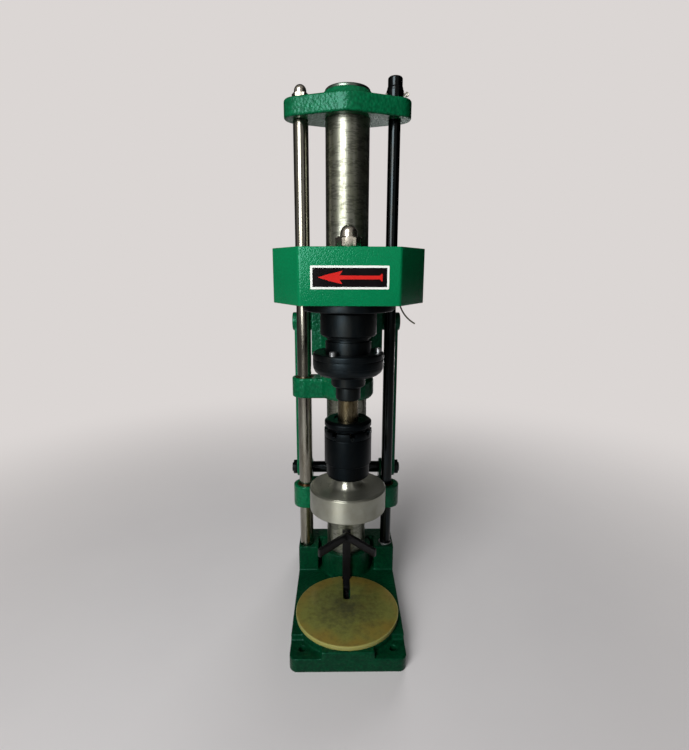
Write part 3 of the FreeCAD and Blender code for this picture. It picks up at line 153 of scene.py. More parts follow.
def remap(tree: Tree, value: Socket, before: Span, after: Span, smooth: bool = False) -> Socket:
    """Maps a value from one range to another and holds it there.

    Args:
        tree: the tree it goes into.
        value: what is mapped.
        before: the range that it comes in.
        after: the range that it leaves in.
        smooth: true to ease both ends.

    Returns:
        The mapped value.
    """
    ends = dict(enumerate((value, *before, *after)))
    kind = "SMOOTHSTEP" if smooth else "LINEAR"
    return add(tree, "ShaderNodeMapRange", ends, interpolation_type=kind).outputs[0]


def blend(tree: Tree, share: Socket, first: Socket | str, second: Socket | str) -> Socket:
    """Mixes two colours, each a socket or a colour in sRGB hex."""
    first, second = (linear(colour) if isinstance(colour, str) else colour for colour in (first, second))
    return add(tree, "ShaderNodeMix", {0: share, 6: first, 7: second}, data_type="RGBA").outputs[2]


def noise(tree: Tree, place: Socket, size_mm: float | Span, detail: float, roughness: float = 0.5) -> Socket:
    """Soft random patches.

    Args:
        tree: the tree it goes into.
        place: where the pattern is read.
        size_mm: size of the patches, or their width and their height.
        detail: how many finer layers lie on them.
        roughness: how strong the finer layers are.

    Returns:
        The pattern's value.
    """
    scale = 1.0
    if isinstance(size_mm, tuple):
        wide, tall = (1 / (size * MM) for size in size_mm)
        place = add(tree, "ShaderNodeMapping", {"Vector": place, "Scale": (wide, wide, tall)}).outputs[0]
    else:
        scale = 1 / (size_mm * MM)
    return add(tree, "ShaderNodeTexNoise", {
        "Vector": place, "Scale": scale, "Detail": detail, "Roughness": roughness}).outputs[0]


def relief(tree: Tree, height: Socket, depth_mm: float) -> Socket:
    """A bumped normal from a height pattern of a given depth."""
    return add(tree, "ShaderNodeBump", {"Height": height, "Distance": depth_mm * MM,
                                        "Strength": 1.0}).outputs[0]


def from_axis(tree: Tree, place: Socket, axis: Span) -> tuple[Socket, Socket]:
    """The level vector from an upright axis, given in mm, and its length."""
    arm = vector(tree, "SUBTRACT", place, (axis[0] * MM, axis[1] * MM, 0.0))
    flat = vector(tree, "MULTIPLY", arm, (1, 1, 0))
    return flat, vector(tree, "LENGTH", flat)


@dataclass(frozen=True)
class StippleEnamel:
    """Enamel sprayed so that it dries in small round bumps, each with its own glint."""

    name: str
    colour: str
    shade: str
    bump_mm: float
    height_mm: float
    roughness: float = 0.3
    gloss: float = 0.4
    glint: str = "#9cecda"
    pit_share: float = 0.8
    drift_mm: float = 45.0

    def material(self) -> bpy.types.Material:
        """Bumps at two sizes with their low pits painted darker as shade, a slow drift of tone and glints in
        the tint of the flake in the enamel.
        """
        material, shader, place = surface(
            self.name, Roughness=self.roughness, Specular_IOR_Level=self.gloss,
            Specular_Tint=linear(self.glint))
        tree = material.node_tree
        bumps = noise(tree, place, self.bump_mm, 1.0, 0.45)
        pits = add(tree, "ShaderNodeTexVoronoi", {
            "Vector": place, "Scale": self.pit_share / (self.bump_mm * MM), "Smoothness": 0.6},
            feature="SMOOTH_F1")
        both = calculate(tree, "SUBTRACT", bumps, pits.outputs["Distance"])
        # Painted shade: the lower the relief, the nearer the colour comes to the shade colour.
        depth = remap(tree, both, (-0.3, 0.4), (0.25, 1.0))
        tone = calculate(tree, "MULTIPLY", depth, noise(tree, place, self.drift_mm, 3.0))
        feed(shader, Base_Color=blend(tree, tone, self.shade, self.colour),
             Normal=relief(tree, both, self.height_mm))
        return material


@dataclass(frozen=True)
class TurnedMetal:
    """Metal finished on a lathe or grinder: fine rings round its axis spread each highlight along the bar."""

    name: str
    colour: str
    roughness: float
    axis: Span = (0.0, 0.0)
    ring_mm: float = 0.7
    ring_height_mm: float = 0.02
    stain: str = ""
    stain_share: float = 0.0
    stain_mm: Span = (14.0, 40.0)
    spread: float = 0.0
    metallic: float = 1.0
    dash_share: float = 0.0
    dash: str = "#37362f"
    dash_mm: Span = (7.0, 1.7)
    row_mm: Span = (30.0, 7.0)

    def material(self) -> bpy.types.Material:
        """Rings round the axis and along it, stains in patches and, if asked, short cross marks."""
        material, shader, place = surface(
            self.name, Metallic=self.metallic, Roughness=self.roughness, Anisotropic=self.spread,
            Anisotropic_Rotation=0.25)
        tree = material.node_tree
        flat, reach = from_axis(tree, place, self.axis)
        level = add(tree, "ShaderNodeSeparateXYZ", {0: place}).outputs[2]
        across = add(tree, "ShaderNodeCombineXYZ", {0: reach, 1: level}).outputs[0]
        rings = noise(tree, across, self.ring_mm, 3.0, 0.7)
        share = remap(tree, noise(tree, place, self.stain_mm, 6.0, 0.62), (0.42, 0.68),
                      (0.0, self.stain_share))
        colour, height = blend(tree, share, self.colour, self.stain or self.colour), rings
        if self.dash_share:
            dashes = noise(tree, place, self.dash_mm, 1.0)
            both = calculate(tree, "MULTIPLY", dashes, noise(tree, place, self.row_mm, 2.0))
            dark = remap(tree, both, (0.24, 0.31), (0.0, self.dash_share))
            colour = blend(tree, dark, colour, self.dash)
            height = calculate(tree, "SUBTRACT", rings, dark)
        gloss = calculate(tree, "MULTIPLY_ADD", rings, 0.10, self.roughness - 0.05)
        feed(shader, Base_Color=colour, Roughness=calculate(tree, "MULTIPLY_ADD", share, 0.25, gloss),
             Normal=relief(tree, height, self.ring_height_mm))
        # The tangent runs round the axis; the shader's quarter turn lays the highlight across the rings.
        if self.spread:
            feed(shader, Tangent=vector(tree, "CROSS_PRODUCT", (0, 0, 1), flat))
        return material


@dataclass(frozen=True)
class Moulded:
    """Plastic, rubber or satin paint with a fine even grain that breaks up its highlight."""

    name: str
    colour: str
    shade: str
    roughness: float
    grain_mm: float = 0.6
    grain_height_mm: float = 0.03
    sheen: float = 0.0
    gloss: float = 0.5
    drift_mm: float = 22.0

    def material(self) -> bpy.types.Material:
        """Grain, a slow drift of tone and faint dust."""
        material, shader, place = surface(
            self.name, Sheen_Weight=self.sheen, Sheen_Roughness=0.5, Specular_IOR_Level=self.gloss)
        tree = material.node_tree
        drift = noise(tree, place, self.drift_mm, 5.0, 0.6)
        rough = remap(tree, drift, (0.3, 0.7), (self.roughness - 0.06, self.roughness + 0.08))
        feed(shader, Base_Color=blend(tree, drift, self.shade, self.colour), Roughness=rough,
             Normal=relief(tree, noise(tree, place, self.grain_mm, 2.0), self.grain_height_mm))
        return material


@dataclass(frozen=True)
class CastResin:
    """Cast polyurethane sheet: light soaks into it; its rim is painted paler as a highlight, and its middle
    is darker, partly rubbed by jars and partly a painted shadow of the head above.
    """

    name: str = "cast_polyurethane"
    colour: str = "#6f7136"
    # Paler rim colour: a painted highlight where the pad's side catches the light.
    edge: str = "#9a9a58"
    # Dark colour of the scuffs, also used as painted shadow in the middle.
    scuff_and_shadow_colour: str = "#34341f"
    amber: str = "#7e662a"
    radius_mm: float = 69.5
    rim_highlight_mm: float = 1.6
    soak_mm: float = 4.0
    scuff_mm: float = 9.0
    cloud_mm: float = 38.0
    ring_mm: float = 1.2
    relief_mm: float = 0.05

    def material(self) -> bpy.types.Material:
        """Scuffs and painted shadow that thicken towards the middle, amber clouds near the edge, a rim
        painted paler as a highlight, faint rings.
        """
        material, shader, place = surface(
            self.name, Subsurface_Weight=0.25, Subsurface_Radius=(1.0, 0.8, 0.3),
            Subsurface_Scale=self.soak_mm * MM)
        tree = material.node_tree
        _, reach = from_axis(tree, place, (0, SPINDLE_Y))
        # Painted shadow of the head: the dark colour is pushed in towards the middle, over the real scuffs.
        near = remap(tree, reach, (2 * MM, 60 * MM), (0.30, -0.06))
        rub = noise(tree, place, self.scuff_mm, 8.0, 0.72)
        scuff_and_shadow = remap(tree, calculate(tree, "ADD", rub, near), (0.42, 0.84), (0.0, 0.9))
        outer = remap(tree, reach, (30 * MM, 68 * MM), (-0.25, 0.15))
        aged = calculate(tree, "ADD", noise(tree, place, self.cloud_mm, 3.0), outer)
        resin = blend(tree, remap(tree, aged, (0.40, 0.66), (0.0, 0.7)), self.colour, self.amber)
        body = blend(tree, scuff_and_shadow, resin, self.scuff_and_shadow_colour)
        # Painted highlight: the rim is made paler.
        rim = remap(tree, reach, ((self.radius_mm - self.rim_highlight_mm) * MM, self.radius_mm * MM), (0.0, 0.75))
        rings = noise(tree, add(tree, "ShaderNodeCombineXYZ", {0: reach}).outputs[0], self.ring_mm, 2.0)
        height = calculate(tree, "MULTIPLY_ADD", rub, 0.6, rings)
        feed(shader, Base_Color=blend(tree, rim, body, self.edge),
             Roughness=remap(tree, scuff_and_shadow, (0.0, 0.8), (0.34, 0.6)),
             Normal=relief(tree, height, self.relief_mm))
        return material


class Finishes:
    """Every finish on the machine, made once."""

    def __init__(self) -> None:
        """Makes the materials from their finishes."""
        black = {"colour": "#1e2427", "stain": "#38352e", "stain_share": 0.35, "ring_height_mm": 0.015}
        spindle = (0.0, SPINDLE_Y)
        made = {
            # Heavy hammered enamel on the castings: bumps 3 mm apart that catch the light in pale specks.
            "cast": StippleEnamel("hammered_enamel_on_iron", "#067145", "#024528", 3.2, 0.38, 0.28),
            # The base carries the same enamel painted darker: a painted shade for the weaker light low down.
            "oiled_cast": StippleEnamel("hammered_enamel_with_painted_shade", "#034829", "#022314", 3.0, 0.26,
                                        0.30, 0.2),
            # The same enamel on folded sheet lies flatter, so the cover looks smooth with a fine sparkle.
            "sheet": StippleEnamel("hammered_enamel_on_sheet", "#04824f", "#036a40", 1.35, 0.20, 0.22),
            # Ground and honed tube: soft bright band, faint dark cross marks from the guide bushes.
            "column": TurnedMetal("honed_steel_tube", "#94968a", 0.36, (0, 0), 0.9, 0.014, "#696b4e", 0.6,
                                  (9, 50), 0.5, 1.0, 0.45),
            # Polished bar with patches of brown oil film.
            "left_bar": TurnedMetal("polished_steel_bar", "#98968b", 0.15, (-61, 0), 0.6, 0.012,
                                    "#554a36", 0.6, (9, 60), 0.1),
            # Blackened bar: nearly black with one thin cool glint.
            "right_bar": TurnedMetal("blackened_steel_bar", "#23282a", 0.16, (61, 0), 0.6, 0.012,
                                     "#2b2721", 0.5, (7, 30), 0.2),
            # Bright nickel on nuts: clear mirror with a warm cast.
            "nickel": TurnedMetal("nickel_plate", "#cfc9ba", 0.24, (0, 0), 1.4, 0.006, "#8c8270", 0.3,
                                  (6, 6)),
            # Turned disc on the column, its grey tinted green with greener patches as a painted reflection of
            # the green enamel round it.
            "disc": TurnedMetal("turned_steel_disc", "#7d897e", 0.34, (0, 0), 0.5, 0.02, "#5b7a68", 0.5,
                                (8, 8), 0.5),
            # Black oxide over turned steel: satin black, rings show as soft vertical highlights.
            "black": TurnedMetal("black_oxide_on_turned_steel", roughness=0.4, axis=spindle, spread=0.3,
                                 **black),
            # The chuck is given a darker black oxide than the driver.
            "oiled_black": TurnedMetal("darker_black_oxide", "#13181b", 0.38, spindle, 0.7, 0.012,
                                       "#1e1c18", 0.3, (14, 40), 0.3),
            # Black oxide on screws and nuts, a little rougher.
            "black_screw": TurnedMetal("black_oxide_on_screws", roughness=0.38, ring_mm=0.5, **black),
            # Worn oily shaft: brown film over bright steel.
            "shaft": TurnedMetal("oiled_steel_shaft", "#7d735a", 0.24, spindle, 0.5, 0.02, "#3d3019", 0.9,
                                 (5, 16), 0.3),
            # Lathe turned aluminium: pale satin side and a fan of light over the turned face.
            "aluminium": TurnedMetal("turned_aluminium", "#a3a498", 0.29, spindle, 0.45, 0.02, "#878573",
                                     0.5, (30, 30), 0.8, 0.9),
            # Zinc plate: pale grey with a faint mottle.
            "zinc": TurnedMetal("zinc_plate", "#b9bcbd", 0.3, (0, 0), 1.2, 0.01, "#8f9498", 0.6, (5, 5)),
            # Drawn spring wire, dark and slightly oily.
            "wire": TurnedMetal("drawn_spring_wire", "#7d7d78", 0.3, (0, 41), 1.5, 0.01, "#4b463c", 0.5,
                                (6, 20)),
            # Turned bronze bush: warm yellow with ring marks.
            "bronze": TurnedMetal("turned_bronze", "#6b4e2c", 0.42, (0, 0), 0.5, 0.02, "#4a351c", 0.7,
                                  (6, 6)),
            # Machined grey iron: dull, open grain.
            "iron": TurnedMetal("machined_grey_iron", "#7a7b7c", 0.45, spindle, 0.6, 0.03, "#4c4a47", 0.6,
                                (5, 5)),
            # Satin black paint on flat bar, rubbed to a soft sheen.
            "flat_black": Moulded("satin_black_paint_on_bar", "#08080a", "#040405", 0.42, 0.9, 0.03, 0,
                                  0.25),
            # Satin black sheet steel tray.
            "tray": Moulded("satin_black_sheet", "#1b1c1d", "#0e0f10", 0.42, 1.1, 0.04),
            # Moulded red brown rubber: matt with a soft bloom.
            "cone": Moulded("moulded_nitrile_rubber", "#8e4634", "#6b3124", 0.62, 0.8, 0.05, 0.3),
            # Wrapped rubber of the belt: dull black with a faint bloom.
            "belt": Moulded("wrapped_belt_rubber", "#202022", "#141415", 0.7, 0.5, 0.06, 0.2),
            # Pressed lining: brown and quite matt.
            "lining": Moulded("pressed_friction_lining", "#54463a", "#3a3028", 0.8, 0.7, 0.08),
            # Moulded terminal box: dark grey with a fine grain.
            "box": Moulded("moulded_polyamide_box", "#232425", "#17181a", 0.5, 0.7, 0.05),
            # Natural nylon: milky and a little yellowed.
            "tie": Moulded("natural_nylon_tie", "#7c7a66", "#5f5d4a", 0.4, 0.8, 0.02),
            # Blue grey machine enamel over an aluminium motor shell.
            "motor": StippleEnamel("machine_enamel_on_aluminium", "#3f5763", "#2d404a", 1.8, 0.10, 0.38,
                                   0.5, "#ffffff"),
            # Cast resin of the pad, worn dark where the jars turn and painted darker in the middle as shadow,
            # its rim painted paler as a highlight.
            "pad": CastResin(),
            # Screen printed sheet: flat inks under one clear gloss.
            "sign_white": Moulded("printed_white_ink", "#eef1ec", "#dfe4dd", 0.32, 1.5, 0.008),
            "sign_black": Moulded("printed_black_ink", "#090507", "#050304", 0.28, 1.5, 0.008, 0, 0.12),
            "sign_red": Moulded("printed_red_ink", "#d2221b", "#b81915", 0.34, 1.5, 0.008, 0, 0.2),
        }
        self._made = {key: finish.material() for key, finish in made.items()}

    def __getitem__(self, key: str) -> bpy.types.Material:
        """The material of a finish by its short name."""
        return self._made[key]


def new_object(name: str, mesh: bpy.types.Mesh,
               material: bpy.types.Material | None = None) -> bpy.types.Object:
    """Puts a mesh into the scene under a name of its own.

    Args:
        name: name of the piece.
        mesh: its mesh in metres, in place.
        material: its finish, if the mesh has none yet.

    Returns:
        The new object.
    """
    mesh.name = name
    if material:
        mesh.materials.clear()
        mesh.materials.append(material)
    piece = bpy.data.objects.new(name, mesh)
    bpy.context.scene.collection.objects.link(piece)
    return piece


def mesh_of(form: bmesh.types.BMesh, crease: float = CREASE) -> bpy.types.Mesh:
    """Closes a form into a mesh whose gentle edges shade smooth.

    Args:
        form: the form, freed here.
        crease: edges sharper than this many degrees stay crisp.

    Returns:
        The mesh.
    """
    bmesh.ops.remove_doubles(form, verts=form.verts, dist=1e-6)
    bmesh.ops.recalc_face_normals(form, faces=form.faces)
    mesh = bpy.data.meshes.new("form")
    form.to_mesh(mesh)
    form.free()
    mesh.shade_smooth()
    mesh.set_sharp_from_angle(angle=math.radians(crease))
    return mesh


def plain_mesh(piece: bpy.types.Object) -> bpy.types.Mesh:
    """The mesh of a piece with its modifiers applied; the piece is removed."""
    graph = bpy.context.evaluated_depsgraph_get()
    mesh = bpy.data.meshes.new_from_object(piece.evaluated_get(graph), depsgraph=graph)
    old = piece.data
    bpy.data.objects.remove(piece)
    if old.users == 0:
        bpy.data.meshes.remove(old)
    return mesh


def eased(points: list[Point], radius: float, steps: int = 3) -> list[Point]:
    """Rounds the corners of a half profile.

    Args:
        points: (radius, height) or (radius, height, flat) in mm; a flat is a hexagon's half width.
        radius: the most that a corner is rounded by.
        steps: straight pieces in each rounded corner.

    Returns:
        The profile with short arcs at its corners, those on the axis left as they are.
    """
    result: list[Point] = []
    count = len(points)
    for i, point in enumerate(points):
        here = Vector(point[:2])
        before, after = Vector(points[i - 1][:2]), Vector(points[(i + 1) % count][:2])
        if here.x < POLE or len(point) > 2:
            result.append(point)
            continue
        back, on = before - here, after - here
        cut = min(radius, 0.4 * back.length, 0.4 * on.length)
        start, end = here + back.normalized() * cut, here + on.normalized() * cut
        for step in range(steps + 1):
            t = step / steps
            spot = start * (1 - t) ** 2 + here * 2 * t * (1 - t) + end * t**2
            result.append((spot.x, spot.y))
    return result


def arc(centre: Point, radius: float, start: float, end: float, steps: int) -> list[Point]:
    """Points on an arc of a profile.

    Args:
        centre: its centre in mm.
        radius: its radius in mm.
        start: first angle in degrees, from outwards towards up.
        end: last angle.
        steps: straight pieces in it.

    Returns:
        The points in order.
    """
    angles = [math.radians(start + (end - start) * i / steps) for i in range(steps + 1)]
    return [(centre[0] + radius * math.cos(a), centre[1] + radius * math.sin(a)) for a in angles]


def turned(name: str, profile: list[Point], axis: Point, material: bpy.types.Material,
           ease: float = 0.4, parts: int = 96) -> bpy.types.Object:
    """Turns a closed half profile round an upright axis.

    Args:
        name: name of the piece.
        profile: closed outline of its section in mm; a third value makes that ring follow a hexagon.
        axis: where the axis stands, x and y in mm.
        material: its finish.
        ease: rounding of the corners in mm.
        parts: pieces round the axis.

    Returns:
        The closed piece.
    """
    form = bmesh.new()
    rings = []
    for point in eased(profile, ease) if ease else profile:
        if point[0] < POLE:
            rings.append([form.verts.new((axis[0] * MM, axis[1] * MM, point[1] * MM))])
            continue
        ring = []
        for i in range(parts):
            angle = 2 * math.pi * i / parts
            reach = point[0]
            if len(point) > 2:
                reach = min(reach, point[2] / math.cos(math.radians((math.degrees(angle) % 60) - 30)))
            ring.append(form.verts.new((
                (axis[0] + reach * math.cos(angle)) * MM, (axis[1] + reach * math.sin(angle)) * MM,
                point[1] * MM)))
        rings.append(ring)
    for i, ring in enumerate(rings):
        above = rings[(i + 1) % len(rings)]
        if len(ring) == 1 and len(above) == 1:
            continue
        for j in range(parts):
            k = (j + 1) % parts
            if len(ring) == 1:
                corners = [ring[0], above[k], above[j]]
            elif len(above) == 1:
                corners = [ring[j], ring[k], above[0]]
            else:
                corners = [ring[j], ring[k], above[k], above[j]]
            form.faces.new(corners)
    return new_object(name, mesh_of(form), material)


def solid_outline(name: str, outline: list[Point], low: float, high: float, material: bpy.types.Material,
                  turn: Matrix | None = None, ease: float = 0.0) -> bpy.types.Object:
    """Raises a flat outline to a plate.

    Args:
        name: name of the piece.
        outline: its corners in mm.
        low: level of its underside in mm.
        high: level of its top in mm.
        material: its finish.
        turn: how the plate is turned and moved, in metres.
        ease: bevel of its edges in mm.

    Returns:
        The closed piece.
    """
    form = bmesh.new()
    base = form.faces.new([form.verts.new((x * MM, y * MM, low * MM)) for x, y in outline])
    lifted = bmesh.ops.extrude_face_region(form, geom=[base])
    tops = [v for v in lifted["geom"] if isinstance(v, bmesh.types.BMVert)]
    bmesh.ops.translate(form, verts=tops, vec=(0, 0, (high - low) * MM))
    if ease:
        sharp = [e for e in form.edges if e.calc_face_angle(0) > math.radians(30)]
        bmesh.ops.bevel(form, geom=sharp, offset=ease * MM, segments=2, profile=0.5, affect="EDGES",
                        clamp_overlap=True)
    if turn:
        bmesh.ops.transform(form, matrix=turn, verts=form.verts)
    return new_object(name, mesh_of(form), material)


def eased_copy(name: str, node: str, material: bpy.types.Material, ease: float, segments: int = 2,
               corner: float = 32, crease: float = CREASE) -> bpy.types.Object:
    """Copies a machined or folded solid and breaks its sharp edges as a file or a press does.

    Args:
        name: name of the piece.
        node: the solid that it copies.
        material: its finish.
        ease: width of the broken edge in mm.
        segments: pieces across it.
        corner: edges sharper than this many degrees are broken.
        crease: edges sharper than this many degrees stay crisp in shading.

    Returns:
        The closed piece.
    """
    form = bmesh.new()
    form.from_mesh(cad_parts[node].data)
    bmesh.ops.remove_doubles(form, verts=form.verts, dist=1e-6)
    bmesh.ops.dissolve_limit(form, angle_limit=math.radians(0.6), verts=form.verts, edges=form.edges,
                             use_dissolve_boundaries=False)
    sharp = [e for e in form.edges if len(e.link_faces) == 2 and e.calc_face_angle(0) > math.radians(corner)]
    bmesh.ops.bevel(form, geom=sharp, offset=ease * MM, segments=segments, profile=0.5, affect="EDGES",
                    clamp_overlap=True)
    return new_object(name, mesh_of(form, crease), material)


def cast_copy(name: str, node: str, material: bpy.types.Material, grid: float, rounds: int,
              keep: float) -> bpy.types.Object:
    """Copies a solid with the soft edges and filled corners of a sand casting under paint.

    Args:
        name: name of the piece.
        node: the solid that it copies.
        material: its finish.
        grid: voxel size in mm, which sets how soft the edges are.
        rounds: smoothing passes.
        keep: share of the faces that stay.

    Returns:
        The closed piece.
    """
    form = bmesh.new()
    form.from_mesh(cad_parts[node].data)
    bmesh.ops.remove_doubles(form, verts=form.verts, dist=1e-6)
    mesh = bpy.data.meshes.new("rough")
    form.to_mesh(mesh)
    form.free()
    rough = new_object("rough", mesh)
    remesh = rough.modifiers.new("skin", "REMESH")
    remesh.mode = "VOXEL"
    remesh.voxel_size = grid * MM
    smooth = rough.modifiers.new("soften", "SMOOTH")
    smooth.factor = 0.5
    smooth.iterations = rounds
    if keep < 1:
        thin = rough.modifiers.new("thin", "DECIMATE")
        thin.ratio = keep
    result = plain_mesh(rough)
    result.shade_smooth()
    return new_object(name, result, material)


@dataclass
class RingPattern:
    """Copies of one item set round an upright axis by Geometry Nodes."""

    radius: float
    count: int
    step: float
    start: float = 0.0
    centre: tuple[float, float, float] = (0.0, 0.0, 0.0)

    def _tree(self) -> Tree:
        """Builds the tree: points on a circle, the item on each, made real and finished."""
        tree = bpy.data.node_groups.new("ring_pattern", "GeometryNodeTree")
        tree.interface.new_socket("Geometry", in_out="INPUT", socket_type="NodeSocketGeometry")
        for name, kind in (("Item", "Object"), ("Finish", "Material"), ("Count", "Int"), ("Radius", "Float"),
                           ("Step", "Float"), ("Start", "Float"), ("Centre", "Vector")):
            tree.interface.new_socket(name, in_out="INPUT", socket_type=f"NodeSocket{kind}")
        tree.interface.new_socket("Geometry", in_out="OUTPUT", socket_type="NodeSocketGeometry")
        given = add(tree, "NodeGroupInput").outputs
        turn = add(tree, "ShaderNodeMath", {
            0: add(tree, "GeometryNodeInputIndex").outputs[0], 1: given["Step"], 2: given["Start"]},
            operation="MULTIPLY_ADD").outputs[0]
        along = [add(tree, "ShaderNodeMath", {0: turn}, operation=way).outputs[0] for way in ("COSINE",
                                                                                              "SINE")]
        scaled = [add(tree, "ShaderNodeMath", {0: part, 1: given["Radius"]}, operation="MULTIPLY").outputs[0]
                  for part in along]
        spot = add(tree, "ShaderNodeCombineXYZ", {0: scaled[0], 1: scaled[1]}).outputs[0]
        moved = add(tree, "ShaderNodeVectorMath", {0: spot, 1: given["Centre"]}, operation="ADD").outputs[0]
        points = add(tree, "GeometryNodePoints", {"Count": given["Count"], "Position": moved}).outputs[0]
        item = add(tree, "GeometryNodeObjectInfo", {"Object": given["Item"]}, transform_space="ORIGINAL")
        facing = add(tree, "ShaderNodeCombineXYZ", {2: turn}).outputs[0]
        placed = add(tree, "GeometryNodeInstanceOnPoints", {
            "Points": points, "Instance": item.outputs["Geometry"], "Rotation": facing}).outputs[0]
        real = add(tree, "GeometryNodeRealizeInstances", {0: placed}).outputs[0]
        done = add(tree, "GeometryNodeSetMaterial", {"Geometry": real,
                                                     "Material": given["Finish"]}).outputs[0]
        add(tree, "NodeGroupOutput", {0: done})
        return tree

    def build(self, name: str, item: bpy.types.Object, material: bpy.types.Material) -> bpy.types.Object:
        """Makes the copies as one plain piece.

        Args:
            name: name of the piece.
            item: what is repeated, made at the origin facing +X; removed here.
            material: the finish of the copies.

        Returns:
            The piece.
        """
        tree = self._tree()
        host = new_object(name + "_host", bpy.data.meshes.new("host"))
        pattern = host.modifiers.new("pattern", "NODES")
        pattern.node_group = tree
        values = {"Item": item, "Finish": material, "Count": self.count, "Radius": self.radius * MM,
                  "Step": math.radians(self.step), "Start": math.radians(self.start),
                  "Centre": [c * MM for c in self.centre]}
        for socket in tree.interface.items_tree:
            if socket.in_out == "INPUT" and socket.name in values:
                pattern[socket.identifier] = values[socket.name]
        mesh = plain_mesh(host)
        bpy.data.objects.remove(item)
        bpy.data.node_groups.remove(tree)
        mesh.set_sharp_from_angle(angle=math.radians(CREASE))
        return new_object(name, mesh)


def join(name: str, pieces: list[bpy.types.Object]) -> bpy.types.Object:
    """Makes one piece of several that share a body.

    Args:
        name: name of the joined piece.
        pieces: what goes into it; removed here.

    Returns:
        The joined piece, each part with its own finish.
    """
    materials: list[bpy.types.Material] = []
    form = bmesh.new()
    for piece in pieces:
        for material in piece.data.materials:
            if material not in materials:
                materials.append(material)
        slots = [materials.index(m) for m in piece.data.materials]
        first = len(form.faces)
        form.from_mesh(piece.data)
        form.faces.ensure_lookup_table()
        for face in form.faces[first:]:
            face.material_index = slots[face.material_index] if slots else 0
    mesh = bpy.data.meshes.new(name)
    form.to_mesh(mesh)
    form.free()
    for material in materials:
        mesh.materials.append(material)
    for piece in pieces:
        bpy.data.objects.remove(piece)
    return new_object(name, mesh)


def settle(piece: bpy.types.Object, body: Body, slot: str, *nodes: str) -> bpy.types.Object:
    """Sets a piece on its body and hides the solids that it stands for.

    Args:
        piece: the finished piece.
        body: the body that it rides on.
        slot: not used.
        nodes: solids that it replaces.

    Returns:
        The piece.
    """
    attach(piece, body.value)
    if nodes:
        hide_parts(*nodes)
    log.info("%s: %d faces on %s", piece.name, len(piece.data.polygons), body.value)
    return piece


def dress(finishes: Finishes) -> None:
    """Gives their finishes to the solids that stay as they are."""
    for key, nodes in PLAIN.items():
        for node in nodes:
            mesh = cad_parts[node].data
            mesh.materials.clear()
            mesh.materials.append(finishes[key])


def lathe(body: Body, slot: str, node: str, name: str, profile: list[Point], axis: Point,
          material: bpy.types.Material, ease: float = 0.4, parts: int = 96) -> None:
    """Turns a piece that stands for one solid and sets it on its body.

    Args:
        body: the body that it rides on.
        slot: the record's material slot.
        node: the solid that it replaces.
        name: name of the piece.
        profile: closed outline of its section in mm.
        axis: where the axis stands, x and y in mm.
        material: its finish.
        ease: rounding of the corners in mm.
        parts: pieces round the axis.
    """
    settle(turned(name, profile, axis, material, ease, parts), body, slot, node)


def flex(node: str, material: bpy.types.Material,
         run_out: float = 0) -> None:
    """Replaces a coil by a copy of its solid with its own finish, baked in place.

    Args:
        node: solid that it replaces.
        material: its finish.
        run_out: how far past its ends in mm two end points are set; nothing uses them.
    """
    low, high = (Vector(corner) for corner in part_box(node))
    coil = new_object(f"{node}_coil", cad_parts[node].data.copy())
    coil.data.materials.clear()
    coil.data.materials.append(material)
    start = (low + high) / 2
    end = start.copy()
    start.z, end.z = low.z - run_out * MM, high.z + run_out * MM
    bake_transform(coil)
    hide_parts(node)


def domed_nut(name: str, axis: Point, level: float, flats: float, height: float, dome: float,
              material: bpy.types.Material) -> bpy.types.Object:
    """A closed nut: a bevelled hexagon with a polished dome.

    Args:
        name: name of the piece.
        axis: where it stands in mm.
        level: its underside in mm.
        flats: width across flats.
        height: height of the hexagon.
        dome: width of the dome.
        material: its finish.

    Returns:
        The piece.
    """
    half, full = flats / 2, flats / 2 / math.cos(math.radians(30))
    bevel = (full - half) * 0.62
    centre = level + height + dome / 6
    profile: list[Point] = [
        (0, level), (half * 0.98, level, half), (full, level + bevel, half),
        (full, level + height - bevel, half), (half * 0.98, level + height, half),
        (dome / 2 + 0.5, level + height), (dome / 2, level + height + 0.5),
        *arc((0, centre), dome / 2, 0, 84, 12), (0, centre + dome / 2)]
    return turned(name, profile, axis, material, 0)


def socket_screw(head: float, tall: float, socket: float, deep: float, material: bpy.types.Material,
                 down: bool = False) -> bpy.types.Object:
    """Head of a socket screw at the origin, its bearing face at zero.

    Args:
        head: width of the head in mm.
        tall: height of the head.
        socket: width across the flats of its socket.
        deep: depth of the socket.
        material: its finish.
        down: true if the head points down.

    Returns:
        The item.
    """
    half = socket / 2
    profile: list[Point] = [
        (0, 0), (head / 2, 0), (head / 2, tall - 0.5), (head / 2 - 0.5, tall), (half * 1.25, tall),
        (half * 1.155, tall - 0.3, half), (half * 1.155, tall - deep, half), (0, tall - deep - 0.6)]
    item = turned("screw", profile, (0, 0), material, 0, 36)
    if down:
        item.data.transform(Matrix.Rotation(math.pi, 4, "X"))
    return item


# Solids that stay as they are and only get a finish.
PLAIN = {
    "black_screw": ("base_set_screws", "chuck_screws"),
    "nickel": ("ring_pin",),
    "zinc": ("clamp_nut", "outer_bearings", "inner_races", "shaft_key", "link_pins", "motor_bolts"),
    "bronze": ("guide_bushes",),
    "belt": ("drive_belt",),
    "tie": ("cable_tie",),
    "tray": ("cover_tray",),
    "shaft": ("drive_spindle", "output_shaft", "motor_shaft"),
    "iron": ("driven_pulley", "motor_pulley"),
    "wire": ("clutch_springs",),
    "lining": ("friction_discs",),
    "right_bar": ("cross_shaft",),
}


@dataclass(frozen=True)
class CastPiece:
    """A casting under enamel, copied from its solid with soft edges and filled corners.

    Attributes:
        name: name of the piece.
        node: the solid that it replaces.
        body: the body that it rides on.
        grid: voxel size in mm.
        keep: share of the faces that stay.
        rounds: smoothing passes.
        finish: short name of its enamel.
    """

    name: str
    node: str
    body: Body
    grid: float
    keep: float
    rounds: int = 4
    finish: str = "cast"

    def build(self, finishes: Finishes) -> None:
        """Makes the casting."""
        piece = cast_copy(self.name, self.node, finishes[self.finish], self.grid, self.rounds, self.keep)
        settle(piece, self.body, "green_enamel", self.node)


